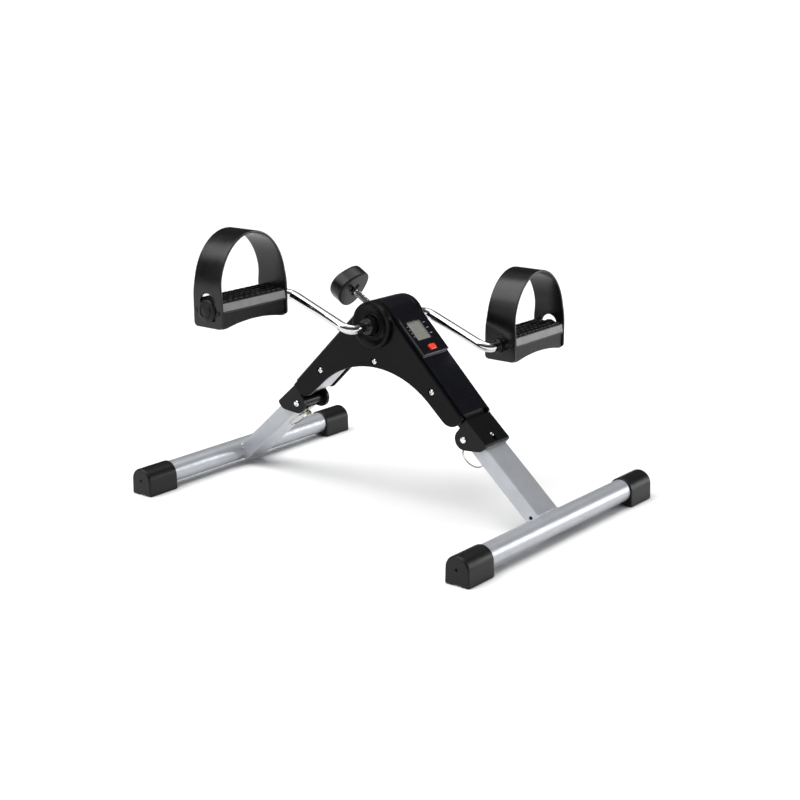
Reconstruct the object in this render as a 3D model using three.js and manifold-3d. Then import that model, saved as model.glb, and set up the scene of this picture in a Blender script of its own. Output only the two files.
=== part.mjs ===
// A folding pedal exerciser: an arched frame that stands on two hinged legs, and a bent crank with
// two strapped pedals that turns through the top of the arch against a friction band.
// Millimetres. X runs from leg to leg, Y along the crank's axle, Z up, origin on the floor at the middle.
import * as THREE from "three";
import { mergeVertices } from "three/addons/utils/BufferGeometryUtils.js";
import Module from "manifold-3d";

const wasm = await Module();
wasm.setup();

// ---- driving dimensions ----
const GAP = 0.3;
const degrees = Math.PI / 180;

const AXLE_Z = 225;
const ARCH_SLOPE = 45 * degrees;
const HUMP_RADIUS = 29.5;
const COVER_WALL = 3;
const COVER_HALF_WIDTH = 24;
const ARCH_LENGTH = 158;
const SIDE_COVER_Y = [24.3, 29];

const TUBE_WIDTH = 40;
const TUBE_HEIGHT = 20;
const TUBE_WALL = 1.5;
const ARCH_TUBE_FLOOR = 6.4;
const ARCH_TUBE_SPAN = [72, 154.5];

const PIVOT = { x: 132.5, z: 103 };
const LEG_SLOPE = 41.7 * degrees;
const LEG_TOP = 15;
const LEG_FLOOR = LEG_TOP - TUBE_HEIGHT;
const LEG_END = 138;
const LEG_NOSE = 12;
const PIN_RADIUS = 3.2;
const PIN_FIT = 0.1;
const BARREL_RADIUS = 6.5;
const HINGE_WALL = 5.2;
const EAR_RADIUS = 13;

const LOCK_X = 13.65;
const LOCK_RADIUS = 3;
const LOCK_TIP = 21.8;
const RING_RADIUS = 14.5;
const RING_WIRE = 1;

const BAR_X = 247.8;
const BAR_Z = 19;
const BAR_RADIUS = 14;
const BAR_HALF_LENGTH = 187.5;
const CAP_INNER = 144.7;
const CAP_OUTER = 192;
const CAP_HALF_WIDTH = 16;
const CAP_SOLE_WIDEN = 0.6;
const CAP_RISE = 15.8;

const ROD_RADIUS = 6;
const CRANK_RADIUS = 102;
const CRANK_ANGLE = 20.6 * degrees;
const ARM_Y = 74;
const ROD_BEND = 15;
const SLEEVE_RADIUS = 8;

const PEDAL_INNER = 101;
const PEDAL_OUTER = 212;
const PEDAL_TOP = 13;
const PEDAL_FLOOR = -20;
const STRAP_THICK = 2.8;
const STRAP_TOP = 88;
const STRAP_HALF = { end: 23, middle: 21 };

const KNOB_TILT = -60 * degrees;
const WHEEL_RADIUS = 14;
const BAND_RADIUS = 15.8;

const ROUND = 20;
const SMALL_ROUND = 12;
const TUBE_ROUND = 28;
const HOLE_ROUND = 8;
const CURVE_STEPS = 6;

// ---- materials ----
function finish(color, roughness, metalness) {
  return new THREE.MeshStandardMaterial({ color, roughness, metalness });
}
const silverPaint = finish(0x9c9fa3, 0.42, 0.55);
const chrome = finish(0xd9dbdd, 0.12, 1);
const zinc = finish(0xb4b2a6, 0.35, 0.9);
const brightScrew = finish(0xcfd0d2, 0.25, 1);
const glossBlack = finish(0x0c0d12, 0.22, 0);
const satinBlack = finish(0x161617, 0.45, 0);
const strapBlack = finish(0x131314, 0.38, 0);
const capRubber = finish(0x1a1a1a, 0.6, 0);
const hingeBlack = finish(0x101012, 0.35, 0.2);
const bandFelt = finish(0x4b4740, 0.95, 0);
const nylon = finish(0xd8d5c8, 0.55, 0);
const springSteel = finish(0x8f9092, 0.3, 1);
const lcdGreen = finish(0x6f6a57, 0.5, 0);
const lensClear = finish(0xaab0ac, 0.05, 0);
const boardGreen = finish(0x1f5a35, 0.5, 0);
const redButton = finish(0xe2321f, 0.35, 0);
const padBlack = finish(0x101010, 0.7, 0);

// ---- solids ----
function solid(geometry) {
  const loose = geometry.index ? geometry.toNonIndexed() : geometry;
  const bare = new THREE.BufferGeometry().setAttribute("position", loose.getAttribute("position"));
  const merged = mergeVertices(bare, 1e-4);
  const index = merged.index.array;
  const triVerts = [];
  for (let i = 0; i < index.length; i += 3) {
    const [a, b, c] = [index[i], index[i + 1], index[i + 2]];
    if (a !== b && b !== c && c !== a) triVerts.push(a, b, c);
  }
  const vertProperties = merged.attributes.position.array;
  return new wasm.Manifold(
    new wasm.Mesh({ numProp: 3, vertProperties, triVerts: new Uint32Array(triVerts) }),
  );
}

function geometryOf(body) {
  const mesh = body.getMesh();
  return new THREE.BufferGeometry()
    .setAttribute("position", new THREE.BufferAttribute(new Float32Array(mesh.vertProperties), 3))
    .setIndex(new THREE.BufferAttribute(new Uint32Array(mesh.triVerts), 1));
}

// Joins the first list of geometries and takes away the second.
function made(adds, cuts = []) {
  let body = adds.map(solid).reduce((sum, next) => sum.add(next));
  for (const cut of cuts) body = body.subtract(solid(cut));
  return geometryOf(body);
}

// ---- plain shapes ----
function box(x, y, z) {
  const size = [x, y, z].map(([low, high]) => high - low);
  const middle = [x, y, z].map(([low, high]) => (low + high) / 2);
  return new THREE.BoxGeometry(...size).translate(...middle);
}

function rod(radius, from, to, sides = SMALL_ROUND) {
  const start = new THREE.Vector3(...from);
  const end = new THREE.Vector3(...to);
  const along = end.clone().sub(start);
  const turn = new THREE.Quaternion().setFromUnitVectors(
    new THREE.Vector3(0, 1, 0),
    along.clone().normalize(),
  );
  return new THREE.CylinderGeometry(radius, radius, along.length(), sides)
    .applyQuaternion(turn)
    .translate(...start.add(end).multiplyScalar(0.5));
}

// A cylinder along Y.
function rodY(radius, y0, y1, x = 0, z = 0, sides = ROUND) {
  return rod(radius, [x, y0, z], [x, y1, z], sides);
}

// An outline in X and Z, thickened along Y.
function slab(outline, y0, y1) {
  const shape = outline instanceof THREE.Shape ? outline : new THREE.Shape(outline);
  return new THREE.ExtrudeGeometry(shape, { depth: y1 - y0, bevelEnabled: false, curveSegments: CURVE_STEPS })
    .rotateX(Math.PI / 2)
    .translate(0, y1, 0);
}

// A profile of [radius, height] pairs turned about Z; the profile closes on itself.
function turned(profile, sides = ROUND) {
  const closed = [...profile, profile[0]].map(([r, h]) => new THREE.Vector2(r, h));
  return new THREE.LatheGeometry(closed, sides).rotateX(Math.PI / 2);
}

// The same about Y, with height along +Y or, for direction -1, along -Y.
function turnedY(profile, direction = 1, sides = ROUND) {
  return turned(profile, sides).rotateX((-direction * Math.PI) / 2);
}

function arc(cx, cz, radius, from, to, steps) {
  return Array.from({ length: steps + 1 }, (_, i) => {
    const a = (from + ((to - from) * i) / steps) * degrees;
    return new THREE.Vector2(cx + radius * Math.cos(a), cz + radius * Math.sin(a));
  });
}

// The right half of a symmetric outline, from its lower middle round to its upper middle, made whole.
function mirrored(half) {
  const left = half
    .filter((p) => p.x > 1e-6)
    .map((p) => new THREE.Vector2(-p.x, p.y))
    .reverse();
  return [...half, ...left];
}

// A point of the right arch slope: t down the slope and w out from the axle, turned into X and Z.
function onSlope(t, w) {
  return new THREE.Vector2((t + w) / Math.SQRT2, AXLE_Z + (w - t) / Math.SQRT2);
}

// ---- the object and its groups ----
const object = new THREE.Group();

function place(parent, name, geometry, material) {
  const mesh = new THREE.Mesh(geometry, material);
  mesh.name = name;
  parent.add(mesh);
  return mesh;
}

function group(parent, position, turnY = 0, turnZ = 0) {
  const made = new THREE.Group();
  made.position.set(...position);
  made.rotation.set(0, turnY, turnZ);
  parent.add(made);
  return made;
}

const SIDES = [
  { name: "right", turn: 0, ringSide: -1 },
  { name: "left", turn: Math.PI, ringSide: 1 },
];
for (const side of SIDES) {
  side.half = group(object, [0, 0, 0], 0, side.turn);
  side.arch = group(side.half, [0, 0, AXLE_Z], ARCH_SLOPE);
  side.leg = group(side.half, [PIVOT.x, 0, PIVOT.z], LEG_SLOPE);
}
const axle = group(object, [0, 0, AXLE_Z]);
const crank = group(object, [0, 0, AXLE_Z], CRANK_ANGLE);
const tension = group(object, [0, 0, AXLE_Z], KNOB_TILT);

// ---- arch frame: two box tubes welded to the cheeks that carry the axle ----
const CHEEK_Y = [17, 20];
const CHEEK = { bottom: 172, half: 9, shoulder: 204, reach: 100, radius: 25.8 };
const SPACER_Z = 178;
const BUSH_SEAT = 11.9;
const BRIDGE = { from: 21.6, to: 24.8, half: 8 };
const NUT_BORE = 4.4;
const ANCHOR_Z = AXLE_Z - 20.5;
const ANCHOR_RADIUS = 2.5;
const COVER_SCREWS = [
  { x: -88, near: 154.5, far: 154.5 },
  { x: 0, near: 179, far: 190 },
  { x: 88, near: 154.5, far: 154.5 },
];
const SCREW_HOLE = 2;

function archTube() {
  const [start, end] = ARCH_TUBE_SPAN;
  const half = TUBE_WIDTH / 2;
  const [low, high] = [ARCH_TUBE_FLOOR, ARCH_TUBE_FLOOR + TUBE_HEIGHT];
  const outer = box([start, end], [-half, half], [low, high]);
  const inner = box(
    [start - 1, end + 1],
    [TUBE_WALL - half, half - TUBE_WALL],
    [low + TUBE_WALL, high - TUBE_WALL],
  );
  return made([outer], [inner]);
}

function cheekOutline() {
  const { bottom, half, shoulder, reach, radius } = CHEEK;
  const tongue = [[0, bottom], [half, bottom], [half, shoulder]].map(([x, z]) => new THREE.Vector2(x, z));
  const underside = [onSlope(30, ARCH_TUBE_FLOOR), onSlope(reach, ARCH_TUBE_FLOOR)];
  const top = [onSlope(reach, radius), onSlope(0, radius)];
  return mirrored([...tongue, ...underside, ...top, ...arc(0, AXLE_Z, radius, 45, 90, 6).slice(1)]);
}

function archFrame() {
  const tubes = SIDES.map((side) => {
    const geometry = archTube();
    geometry.rotateY(ARCH_SLOPE).translate(0, 0, AXLE_Z).rotateZ(side.turn);
    return geometry;
  });
  const [cheekIn, cheekOut] = CHEEK_Y;
  const cheeks = [slab(cheekOutline(), -cheekOut, -cheekIn), slab(cheekOutline(), cheekIn, cheekOut)];
  const bridge = box(
    [-BRIDGE.half, BRIDGE.half],
    [-cheekIn - 0.5, cheekIn + 0.5],
    [BRIDGE.from, BRIDGE.to],
  );
  const nutBore = rod(NUT_BORE, [0, 0, 0], [0, 0, 40]);
  for (const part of [bridge, nutBore]) part.rotateY(KNOB_TILT).translate(0, 0, AXLE_Z);
  const spacer = rodY(4, -cheekIn - 0.5, cheekIn + 0.5, 0, SPACER_Z, SMALL_ROUND);
  const anchorHole = rodY(ANCHOR_RADIUS + GAP, -21, 21, 0, ANCHOR_Z, SMALL_ROUND);
  const screwHoles = COVER_SCREWS.flatMap(({ x, near, far }) => [
    rodY(SCREW_HOLE + GAP, -cheekOut - 1, -cheekIn + 1, x, near, HOLE_ROUND),
    rodY(SCREW_HOLE + GAP, cheekIn - 1, cheekOut + 1, x, far, HOLE_ROUND),
  ]);
  return made(
    [...tubes, ...cheeks, bridge, spacer],
    [rodY(BUSH_SEAT, -21, 21, 0, AXLE_Z), nutBore, anchorHole, ...screwHoles],
  );
}
place(object, "arch_frame", archFrame(), silverPaint);

// ---- top cover: one channel over the hump and both slopes, with closed ends ----
const MONITOR_SPAN = [15, 72.5];
const MONITOR_POCKET = { t: [24, 62], half: 14.5 };
const LIP_DEPTH = 14.5;
const COVER_END_WALL = 3;
const TONGUE_WINDOW = { half: 18.6, w: [7.5, 25] };

function channelOutline(length, radius, depth) {
  const crotch = new THREE.Vector2(0, AXLE_Z + depth * Math.SQRT2);
  return mirrored([
    crotch,
    onSlope(length, depth),
    onSlope(length, radius),
    ...arc(0, AXLE_Z, radius, 45, 90, 10),
  ]);
}

function topCover() {
  const outer = slab(channelOutline(ARCH_LENGTH, HUMP_RADIUS, LIP_DEPTH), -COVER_HALF_WIDTH, COVER_HALF_WIDTH);
  const insideHalf = TUBE_WIDTH / 2 + GAP;
  const inner = slab(
    channelOutline(ARCH_LENGTH - COVER_END_WALL, HUMP_RADIUS - COVER_WALL + 0.1, LIP_DEPTH - 3),
    -insideHalf,
    insideHalf,
  );
  const openings = SIDES.map((side) =>
    box([150, 170], [-TONGUE_WINDOW.half, TONGUE_WINDOW.half], TONGUE_WINDOW.w)
      .rotateY(ARCH_SLOPE)
      .translate(0, 0, AXLE_Z)
      .rotateZ(side.turn),
  );
  const pocket = box(
    [MONITOR_POCKET.t[0] - GAP, MONITOR_POCKET.t[1] + GAP],
    [-MONITOR_POCKET.half - GAP, MONITOR_POCKET.half + GAP],
    [20, 35],
  )
    .rotateY(ARCH_SLOPE)
    .translate(0, 0, AXLE_Z);
  const stemHole = rod(5, [0, 0, 20], [0, 0, 40]).rotateY(KNOB_TILT).translate(0, 0, AXLE_Z);
  return made([outer], [inner, ...openings, pocket, stemHole]);
}
place(object, "top_cover", topCover(), glossBlack);

// ---- side covers with a dished boss round the axle ----
const BOSS_PROFILE = [
  [9, 24.3],
  [29, 24.3],
  [29, 33.2],
  [27, 35],
  [24.4, 35],
  [16, 31],
  [15, 33],
  [13, 33],
  [12.4, 30.6],
  [9, 30.6],
];
const COVER_TOP = 26.5;
const COVER_END = 163.4;
const HEAD_SEAT = 4.6;

// The lower edge is an arc that runs tangent into a straight stretch and a rounded end.
function coverOutline(arcZ, arcRadius, tangent, endRound) {
  const lower = arc(0, arcZ, arcRadius, 90, 90 - tangent, 10);
  const last = lower[lower.length - 1];
  const out = new THREE.Vector2(Math.sin(tangent * degrees), Math.cos(tangent * degrees));
  const reach = last.dot(out) + endRound;
  // The end's centre lies endRound inside the end edge and endRound outside the straight stretch.
  const tCentre = COVER_END - endRound;
  const along = new THREE.Vector2(out.x - out.y, out.x + out.y).multiplyScalar(1 / Math.SQRT2);
  const wCentre = (reach - AXLE_Z * out.y - tCentre * along.x) / along.y;
  const centre = onSlope(tCentre, wCentre);
  const round = arc(centre.x, centre.y, endRound, -90 - tangent, 45 - 90, 8);
  const corner = onSlope(COVER_END - 3, COVER_TOP - 3);
  return mirrored([
    ...lower,
    ...round,
    ...arc(corner.x, corner.y, 3, -45, 45, 3),
    onSlope(0, COVER_TOP),
    ...arc(0, AXLE_Z, COVER_TOP, 45, 90, 8).slice(1),
  ]);
}

function sideCover(outline, direction, screwHeight) {
  const [inner, outer] = SIDE_COVER_Y;
  const [y0, y1] = direction < 0 ? [-outer, -inner] : [inner, outer];
  const boss = turnedY(BOSS_PROFILE, direction, TUBE_ROUND).translate(0, 0, AXLE_Z);
  const cuts = COVER_SCREWS.flatMap((screw) => {
    const z = screwHeight(screw);
    const seat = direction * (outer - 2.2);
    return [
      rodY(SCREW_HOLE + GAP, y0 - 1, y1 + 1, screw.x, z, HOLE_ROUND),
      rodY(HEAD_SEAT, seat, direction * (outer + 1), screw.x, z, SMALL_ROUND),
    ];
  });
  const bore = rodY(9, y0 - 1, y1 + 1, 0, AXLE_Z);
  return made([made([slab(outline, y0, y1)], [bore]), boss], cuts);
}
const nearOutline = coverOutline(45, 126.5, 42, 17);
const farOutline = coverOutline(61.8, 120.2, 44.4, 10);
place(object, "near_cover", sideCover(nearOutline, -1, (s) => s.near), satinBlack);
place(object, "far_cover", sideCover(farOutline, 1, (s) => s.far), satinBlack);

// A pan-head screw, its head in the cover's seat.
const SCREW_PROFILE = [
  [0, 17.6],
  [SCREW_HOLE, 17.6],
  [SCREW_HOLE, 27.1],
  [3.9, 27.1],
  [3.7, 28.2],
  [2.6, 29],
  [0, 29.2],
];
function coverScrew(x, z, direction) {
  return made([turnedY(SCREW_PROFILE, direction, SMALL_ROUND)]).translate(x, 0, z);
}
COVER_SCREWS.forEach(({ x, near, far }, i) => {
  place(object, `near_cover_screw_${i + 1}`, coverScrew(x, near, -1), brightScrew);
  place(object, `far_cover_screw_${i + 1}`, coverScrew(x, far, 1), brightScrew);
});

// ---- bushes, friction wheel and hub sleeve on the axle ----
const BUSH_FIT = 0.2;
const BUSH_PROFILE = [
  [SLEEVE_RADIUS + BUSH_FIT, 16.8],
  [BUSH_SEAT - 0.05, 16.8],
  [BUSH_SEAT - 0.05, 20.2],
  [14, 20.2],
  [14, 23.2],
  [SLEEVE_RADIUS + BUSH_FIT, 23.2],
];
for (const [name, direction] of [["near", -1], ["far", 1]]) {
  place(axle, `${name}_axle_bush`, made([turnedY(BUSH_PROFILE, direction)]), nylon);
}

const SLEEVE_HALF = 30;
const hubSleeve = made(
  [rodY(SLEEVE_RADIUS, -SLEEVE_HALF, SLEEVE_HALF)],
  [rodY(ROD_RADIUS + GAP, -SLEEVE_HALF - 1, SLEEVE_HALF + 1)],
);
place(crank, "crank_hub_sleeve", hubSleeve, springSteel);
const wheel = made(
  [rodY(WHEEL_RADIUS, -7, 7)],
  [rodY(SLEEVE_RADIUS + GAP, -8, 8)],
);
place(crank, "friction_wheel", wheel, nylon);

// ---- friction band, its anchor pin, and the tension screw that presses on it ----
const BAND_HALF = 6;
const BAND_START = 60;
const BAND_END = 285;

function frictionBand() {
  const inner = arc(0, 0, WHEEL_RADIUS + GAP, BAND_END, BAND_START, 22);
  const outer = arc(0, 0, BAND_RADIUS, BAND_START, BAND_END, 22);
  const hoop = slab([...outer, ...inner], -BAND_HALF, BAND_HALF);
  const tab = box([-3, 3], [-BAND_HALF, BAND_HALF], [-24.5, -WHEEL_RADIUS - 0.6]);
  const eye = rodY(ANCHOR_RADIUS + GAP, -BAND_HALF - 1, BAND_HALF + 1, 0, ANCHOR_Z - AXLE_Z, SMALL_ROUND);
  return made([hoop, tab], [eye]);
}
place(axle, "friction_band", frictionBand(), bandFelt);
place(
  axle,
  "band_anchor_pin",
  made([rodY(ANCHOR_RADIUS, -19.8, 19.8, 0, ANCHOR_Z - AXLE_Z, SMALL_ROUND)]),
  springSteel,
);

const SHOE = { from: 16.1, to: 18.6, half: 5.5 };
const STEM_RADIUS = 4;
const STEM_SPAN = [18.9, 74.5];
const KNOB_SPAN = [63.5, 82];
place(
  tension,
  "tension_shoe",
  made([box([-SHOE.half, SHOE.half], [-BAND_HALF, BAND_HALF], [SHOE.from, SHOE.to])]),
  padBlack,
);
place(
  tension,
  "tension_screw",
  made([rod(STEM_RADIUS, [0, 0, STEM_SPAN[0]], [0, 0, STEM_SPAN[1]], SMALL_ROUND)]),
  chrome,
);

// A three-lobed hand knob: a rounded triangle with softened edges, blind-bored for the screw.
function knobGeometry() {
  const lobes = 3;
  const meanRadius = 24.4;
  const lobeDepth = 1.9;
  const bevel = 2.4;
  const outlineSteps = 36;
  const outline = Array.from({ length: outlineSteps }, (_, i) => {
    const a = (i / outlineSteps) * 2 * Math.PI;
    const r = meanRadius + lobeDepth * Math.cos(lobes * a) - bevel;
    return new THREE.Vector2(r * Math.cos(a), r * Math.sin(a));
  });
  const body = new THREE.ExtrudeGeometry(new THREE.Shape(outline), {
    depth: KNOB_SPAN[1] - KNOB_SPAN[0] - 2 * bevel,
    bevelThickness: bevel,
    bevelSize: bevel,
    bevelSegments: 2,
  }).translate(0, 0, KNOB_SPAN[0] + bevel);
  return made([body], [rod(STEM_RADIUS + GAP, [0, 0, 60], [0, 0, STEM_SPAN[1] + GAP])]);
}
const knobTurn = 39 * degrees;
place(tension, "tension_knob", knobGeometry().rotateZ(knobTurn), satinBlack);

// ---- monitor on the right slope ----
const monitor = SIDES[0].arch;
const DECK = HUMP_RADIUS + GAP;
const MONITOR_TOP = 33.2;
const LCD = { t: [26, 51], y: [-16, 7.5] };
const BUTTON = { t: 64.4, y: -2, halfT: 3.8, halfY: 5.8 };
const CASE_WALL = 1.6;

function monitorCase() {
  const [t0, t1] = MONITOR_SPAN;
  const half = COVER_HALF_WIDTH;
  const lid = box([t0, t1], [-half, half], [DECK, MONITOR_TOP]);
  const pocket = MONITOR_POCKET;
  const well = box(pocket.t, [-pocket.half, pocket.half], [20.5, DECK + 1]);
  const hollow = box(
    [pocket.t[0] + CASE_WALL, pocket.t[1] - CASE_WALL],
    [CASE_WALL - pocket.half, pocket.half - CASE_WALL],
    [19, DECK],
  );
  const [l0, l1] = LCD.t;
  const frameCut = box([l0 - 1, l1 + 1], [LCD.y[0] - 1, LCD.y[1] + 1], [MONITOR_TOP - 1.6, 40]);
  const lcdSeat = box([l0, l1], LCD.y, [DECK + 0.6, 40]);
  const buttonHole = box(
    [BUTTON.t - BUTTON.halfT - GAP, BUTTON.t + BUTTON.halfT + GAP],
    [BUTTON.y - BUTTON.halfY - GAP, BUTTON.y + BUTTON.halfY + GAP],
    [DECK + 1.2, 40],
  );
  return made([lid, well], [hollow, frameCut, lcdSeat, buttonHole]);
}
place(monitor, "monitor_case", monitorCase(), glossBlack);
place(
  monitor,
  "lcd_panel",
  made([box([LCD.t[0] + GAP, LCD.t[1] - GAP], [LCD.y[0] + GAP, LCD.y[1] - GAP], [DECK + 0.9, 31.3])]),
  lcdGreen,
);
place(
  monitor,
  "lcd_lens",
  made([
    box(
      [LCD.t[0] - 0.7, LCD.t[1] + 0.7],
      [LCD.y[0] - 0.7, LCD.y[1] + 0.7],
      [MONITOR_TOP - 1.3, MONITOR_TOP - 0.2],
    ),
  ]),
  lensClear,
);
const BUTTON_REST = [DECK + 2.7, 35];
place(
  monitor,
  "reset_button",
  made([
    box(
      [BUTTON.t - BUTTON.halfT, BUTTON.t + BUTTON.halfT],
      [BUTTON.y - BUTTON.halfY, BUTTON.y + BUTTON.halfY],
      BUTTON_REST,
    ),
  ]),
  redButton,
);
const BOARD = { t: [26.2, 59.8], half: 12.4, w: [22.6, 24.2] };
place(
  monitor,
  "monitor_board",
  made([box(BOARD.t, [-BOARD.half, BOARD.half], BOARD.w)]),
  boardGreen,
);
place(
  monitor,
  "monitor_battery",
  made([rod(5.8, [44, 0, 16.9], [44, 0, BOARD.w[0] - GAP])]),
  springSteel,
);

// ---- hinges: a bracket with a tongue in the arch tube and a U that caps the leg ----
const EAR_INNER = TUBE_WIDTH / 2 + GAP;
const EAR_OUTER = COVER_HALF_WIDTH;
const SLOT = { from: 10.2, to: 23, half: 3.3 };

function earOutline() {
  const top = LEG_TOP + GAP + HINGE_WALL;
  const round = arc(0, 0, EAR_RADIUS, 176, 315, 12);
  const nose = 26.4;
  return [
    new THREE.Vector2(-14, top),
    ...round,
    new THREE.Vector2(22.6, 4.8),
    new THREE.Vector2(25.4, 8.6),
    new THREE.Vector2(nose, 13),
    new THREE.Vector2(nose, top - 2),
    new THREE.Vector2(nose - 2, top),
  ];
}

function hingeBracket() {
  const shell = slab(earOutline(), -EAR_OUTER, EAR_OUTER);
  const legRoom = box([-8, 40], [-EAR_INNER, EAR_INNER], [-30, LEG_TOP + GAP]);
  const noseRoom = rodY(LEG_TOP + 2 * GAP, -EAR_INNER, EAR_INNER);
  const backRoom = box([-30, 0], [-EAR_INNER, EAR_INNER], [-30, 4]);
  const pinHole = rodY(PIN_RADIUS + PIN_FIT, -30, 30);
  const slotBox = box([SLOT.from + SLOT.half, SLOT.to - SLOT.half], [-SLOT.half, SLOT.half], [10, 30]);
  const slotEnds = [SLOT.from + SLOT.half, SLOT.to - SLOT.half].map((x) =>
    rod(SLOT.half, [x, 0, 10], [x, 0, 30]),
  );
  return made([shell], [legRoom, noseRoom, backRoom, pinHole, slotBox, ...slotEnds]);
}

// The tongue is drawn in the slope's frame and moved into the leg's frame.
function hingeTongue() {
  const half = TUBE_WIDTH / 2 - TUBE_WALL - GAP;
  const [low, high] = [ARCH_TUBE_FLOOR + TUBE_WALL + GAP, ARCH_TUBE_FLOOR + TUBE_HEIGHT - TUBE_WALL - GAP];
  const bar = box([118, 168], [-half, half], [low, high]);
  bar.rotateY(ARCH_SLOPE).translate(-PIVOT.x, 0, AXLE_Z - PIVOT.z).rotateY(-LEG_SLOPE);
  const noseRoom = rodY(LEG_TOP + 2 * GAP, -EAR_OUTER, EAR_OUTER);
  return made([bar], [noseRoom]);
}

const PIN_HEAD = { radius: 4, from: EAR_OUTER + GAP, to: EAR_OUTER + 1.8, crown: EAR_OUTER + 2.3 };
const PIN_PROFILE = [
  [0, -PIN_HEAD.crown],
  [PIN_HEAD.radius, -PIN_HEAD.to],
  [PIN_HEAD.radius, -PIN_HEAD.from],
  [PIN_RADIUS, -PIN_HEAD.from],
  [PIN_RADIUS, PIN_HEAD.from],
  [PIN_HEAD.radius, PIN_HEAD.from],
  [PIN_HEAD.radius, PIN_HEAD.to],
  [0, PIN_HEAD.crown],
];
for (const { name, leg } of SIDES) {
  place(leg, `${name}_hinge_bracket`, made([hingeBracket(), hingeTongue()]), hingeBlack);
  place(leg, `${name}_hinge_pin`, made([turnedY(PIN_PROFILE)]), brightScrew);
}

// ---- legs ----
const LEG_CUTBACK = 6.2;
const DRAIN = { x: 122.5, z: 4.3, radius: 2.5 };

function legTube() {
  const half = TUBE_WIDTH / 2;
  const outline = [
    new THREE.Vector2(LEG_END, LEG_TOP),
    new THREE.Vector2(0, LEG_TOP),
    ...arc(0, 0, LEG_TOP, 90, 143, 5).slice(1),
    new THREE.Vector2(-LEG_NOSE, 0),
    ...arc(0, 0, LEG_NOSE, 180, 204.6, 3).slice(1),
    new THREE.Vector2(LEG_END, LEG_FLOOR),
  ].reverse();
  const inner = box(
    [-30, LEG_END + 10],
    [TUBE_WALL - half, half - TUBE_WALL],
    [LEG_FLOOR + TUBE_WALL, LEG_TOP - TUBE_WALL],
  );
  const underCut = box([-30, LEG_CUTBACK], [TUBE_WALL - half, half - TUBE_WALL], [-20, 0]);
  const barSeat = rodY(BAR_RADIUS + GAP, -30, 30, barInLeg.x, barInLeg.z, TUBE_ROUND);
  const pinHole = rodY(PIN_RADIUS + PIN_FIT, -30, 30);
  const lockHole = rod(LOCK_RADIUS + 0.2, [LOCK_X, 0, -10], [LOCK_X, 0, 20]);
  const drain = rodY(DRAIN.radius, -30, -10, DRAIN.x, DRAIN.z, HOLE_ROUND);
  return made([slab(outline, -half, half)], [inner, underCut, barSeat, pinHole, lockHole, drain]);
}
const barOffset = new THREE.Vector3(BAR_X - PIVOT.x, 0, BAR_Z - PIVOT.z).applyAxisAngle(
  new THREE.Vector3(0, 1, 0),
  -LEG_SLOPE,
);
const barInLeg = { x: barOffset.x, z: barOffset.z };

function endCap(direction) {
  const outline = new THREE.Shape();
  const chamfer = 2;
  const sole = CAP_HALF_WIDTH + CAP_SOLE_WIDEN;
  outline.moveTo(chamfer - sole, -BAR_Z);
  outline.lineTo(sole - chamfer, -BAR_Z);
  outline.lineTo(sole, chamfer - BAR_Z);
  outline.lineTo(CAP_HALF_WIDTH, 0);
  outline.absellipse(0, 0, CAP_HALF_WIDTH, CAP_RISE, 0, Math.PI, false);
  outline.lineTo(-sole, chamfer - BAR_Z);
  const [y0, y1] = direction < 0 ? [-CAP_OUTER, -CAP_INNER] : [CAP_INNER, CAP_OUTER];
  const wallY = direction * (BAR_HALF_LENGTH + GAP);
  const boreEnds = [wallY, direction * (CAP_INNER - 5)].sort((a, b) => a - b);
  const bore = rodY(BAR_RADIUS + 0.1, ...boreEnds, 0, 0, TUBE_ROUND);
  const dimple = rodY(2, y0 - 1, y1 + 1, 0, 0, HOLE_ROUND);
  const notch = box([-6, 6], [y0 - 1, y1 + 1], [-BAR_Z - 1, -BAR_Z + 1.2]);
  return made([slab(outline, y0, y1)], [bore, dimple, notch]);
}

const SIDE_WAYS = [[-1, "near"], [1, "far"]];
for (const { name, leg, half, turn } of SIDES) {
  place(leg, `${name}_leg_tube`, legTube(), silverPaint);
  const barrel = made(
    [rodY(BARREL_RADIUS, -18.2, 18.2)],
    [rodY(PIN_RADIUS + PIN_FIT, -20, 20)],
  );
  place(leg, `${name}_pivot_barrel`, barrel, hingeBlack);
  const foot = group(half, [BAR_X, 0, BAR_Z]);
  const bar = made(
    [rodY(BAR_RADIUS, -BAR_HALF_LENGTH, BAR_HALF_LENGTH, 0, 0, TUBE_ROUND)],
    [rodY(BAR_RADIUS - TUBE_WALL, -BAR_HALF_LENGTH - 1, BAR_HALF_LENGTH + 1, 0, 0, TUBE_ROUND)],
  );
  place(foot, `${name}_foot_bar`, bar, silverPaint);
  for (const [way, wayName] of SIDE_WAYS) {
    place(foot, `${name}_${wayName}_end_cap`, endCap(turn === 0 ? way : -way), capRubber);
  }
}

// ---- spring lock: guide, pin with collar and eye, coil spring and pull ring ----
const GUIDE_PROFILE = [
  [LOCK_RADIUS + 0.2, -9],
  [5.4, -9],
  [6.4, -8],
  [6.4, LEG_FLOOR - GAP],
  [LOCK_RADIUS + 0.2, LEG_FLOOR - GAP],
];
const COLLAR = [10.6, 12.2];
const EYE_Z = -13;
const SPRING = { radius: 4.5, wire: 0.5, low: LEG_FLOOR + TUBE_WALL + GAP + 0.6, high: 9.7, turns: 4 };
const RING_LEAN = -63 * degrees;

function ringGeometry(wire) {
  return new THREE.TorusGeometry(RING_RADIUS, wire, 6, 24);
}

// The ring lies square to the pin and passes through its eye, leaning towards one side of the leg.
function atEye(geometry, ringSide) {
  const lean = ringSide < 0 ? RING_LEAN : -RING_LEAN;
  return geometry
    .translate(RING_RADIUS * Math.cos(lean), RING_RADIUS * Math.sin(lean), 0)
    .translate(LOCK_X, 0, EYE_Z);
}

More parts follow.
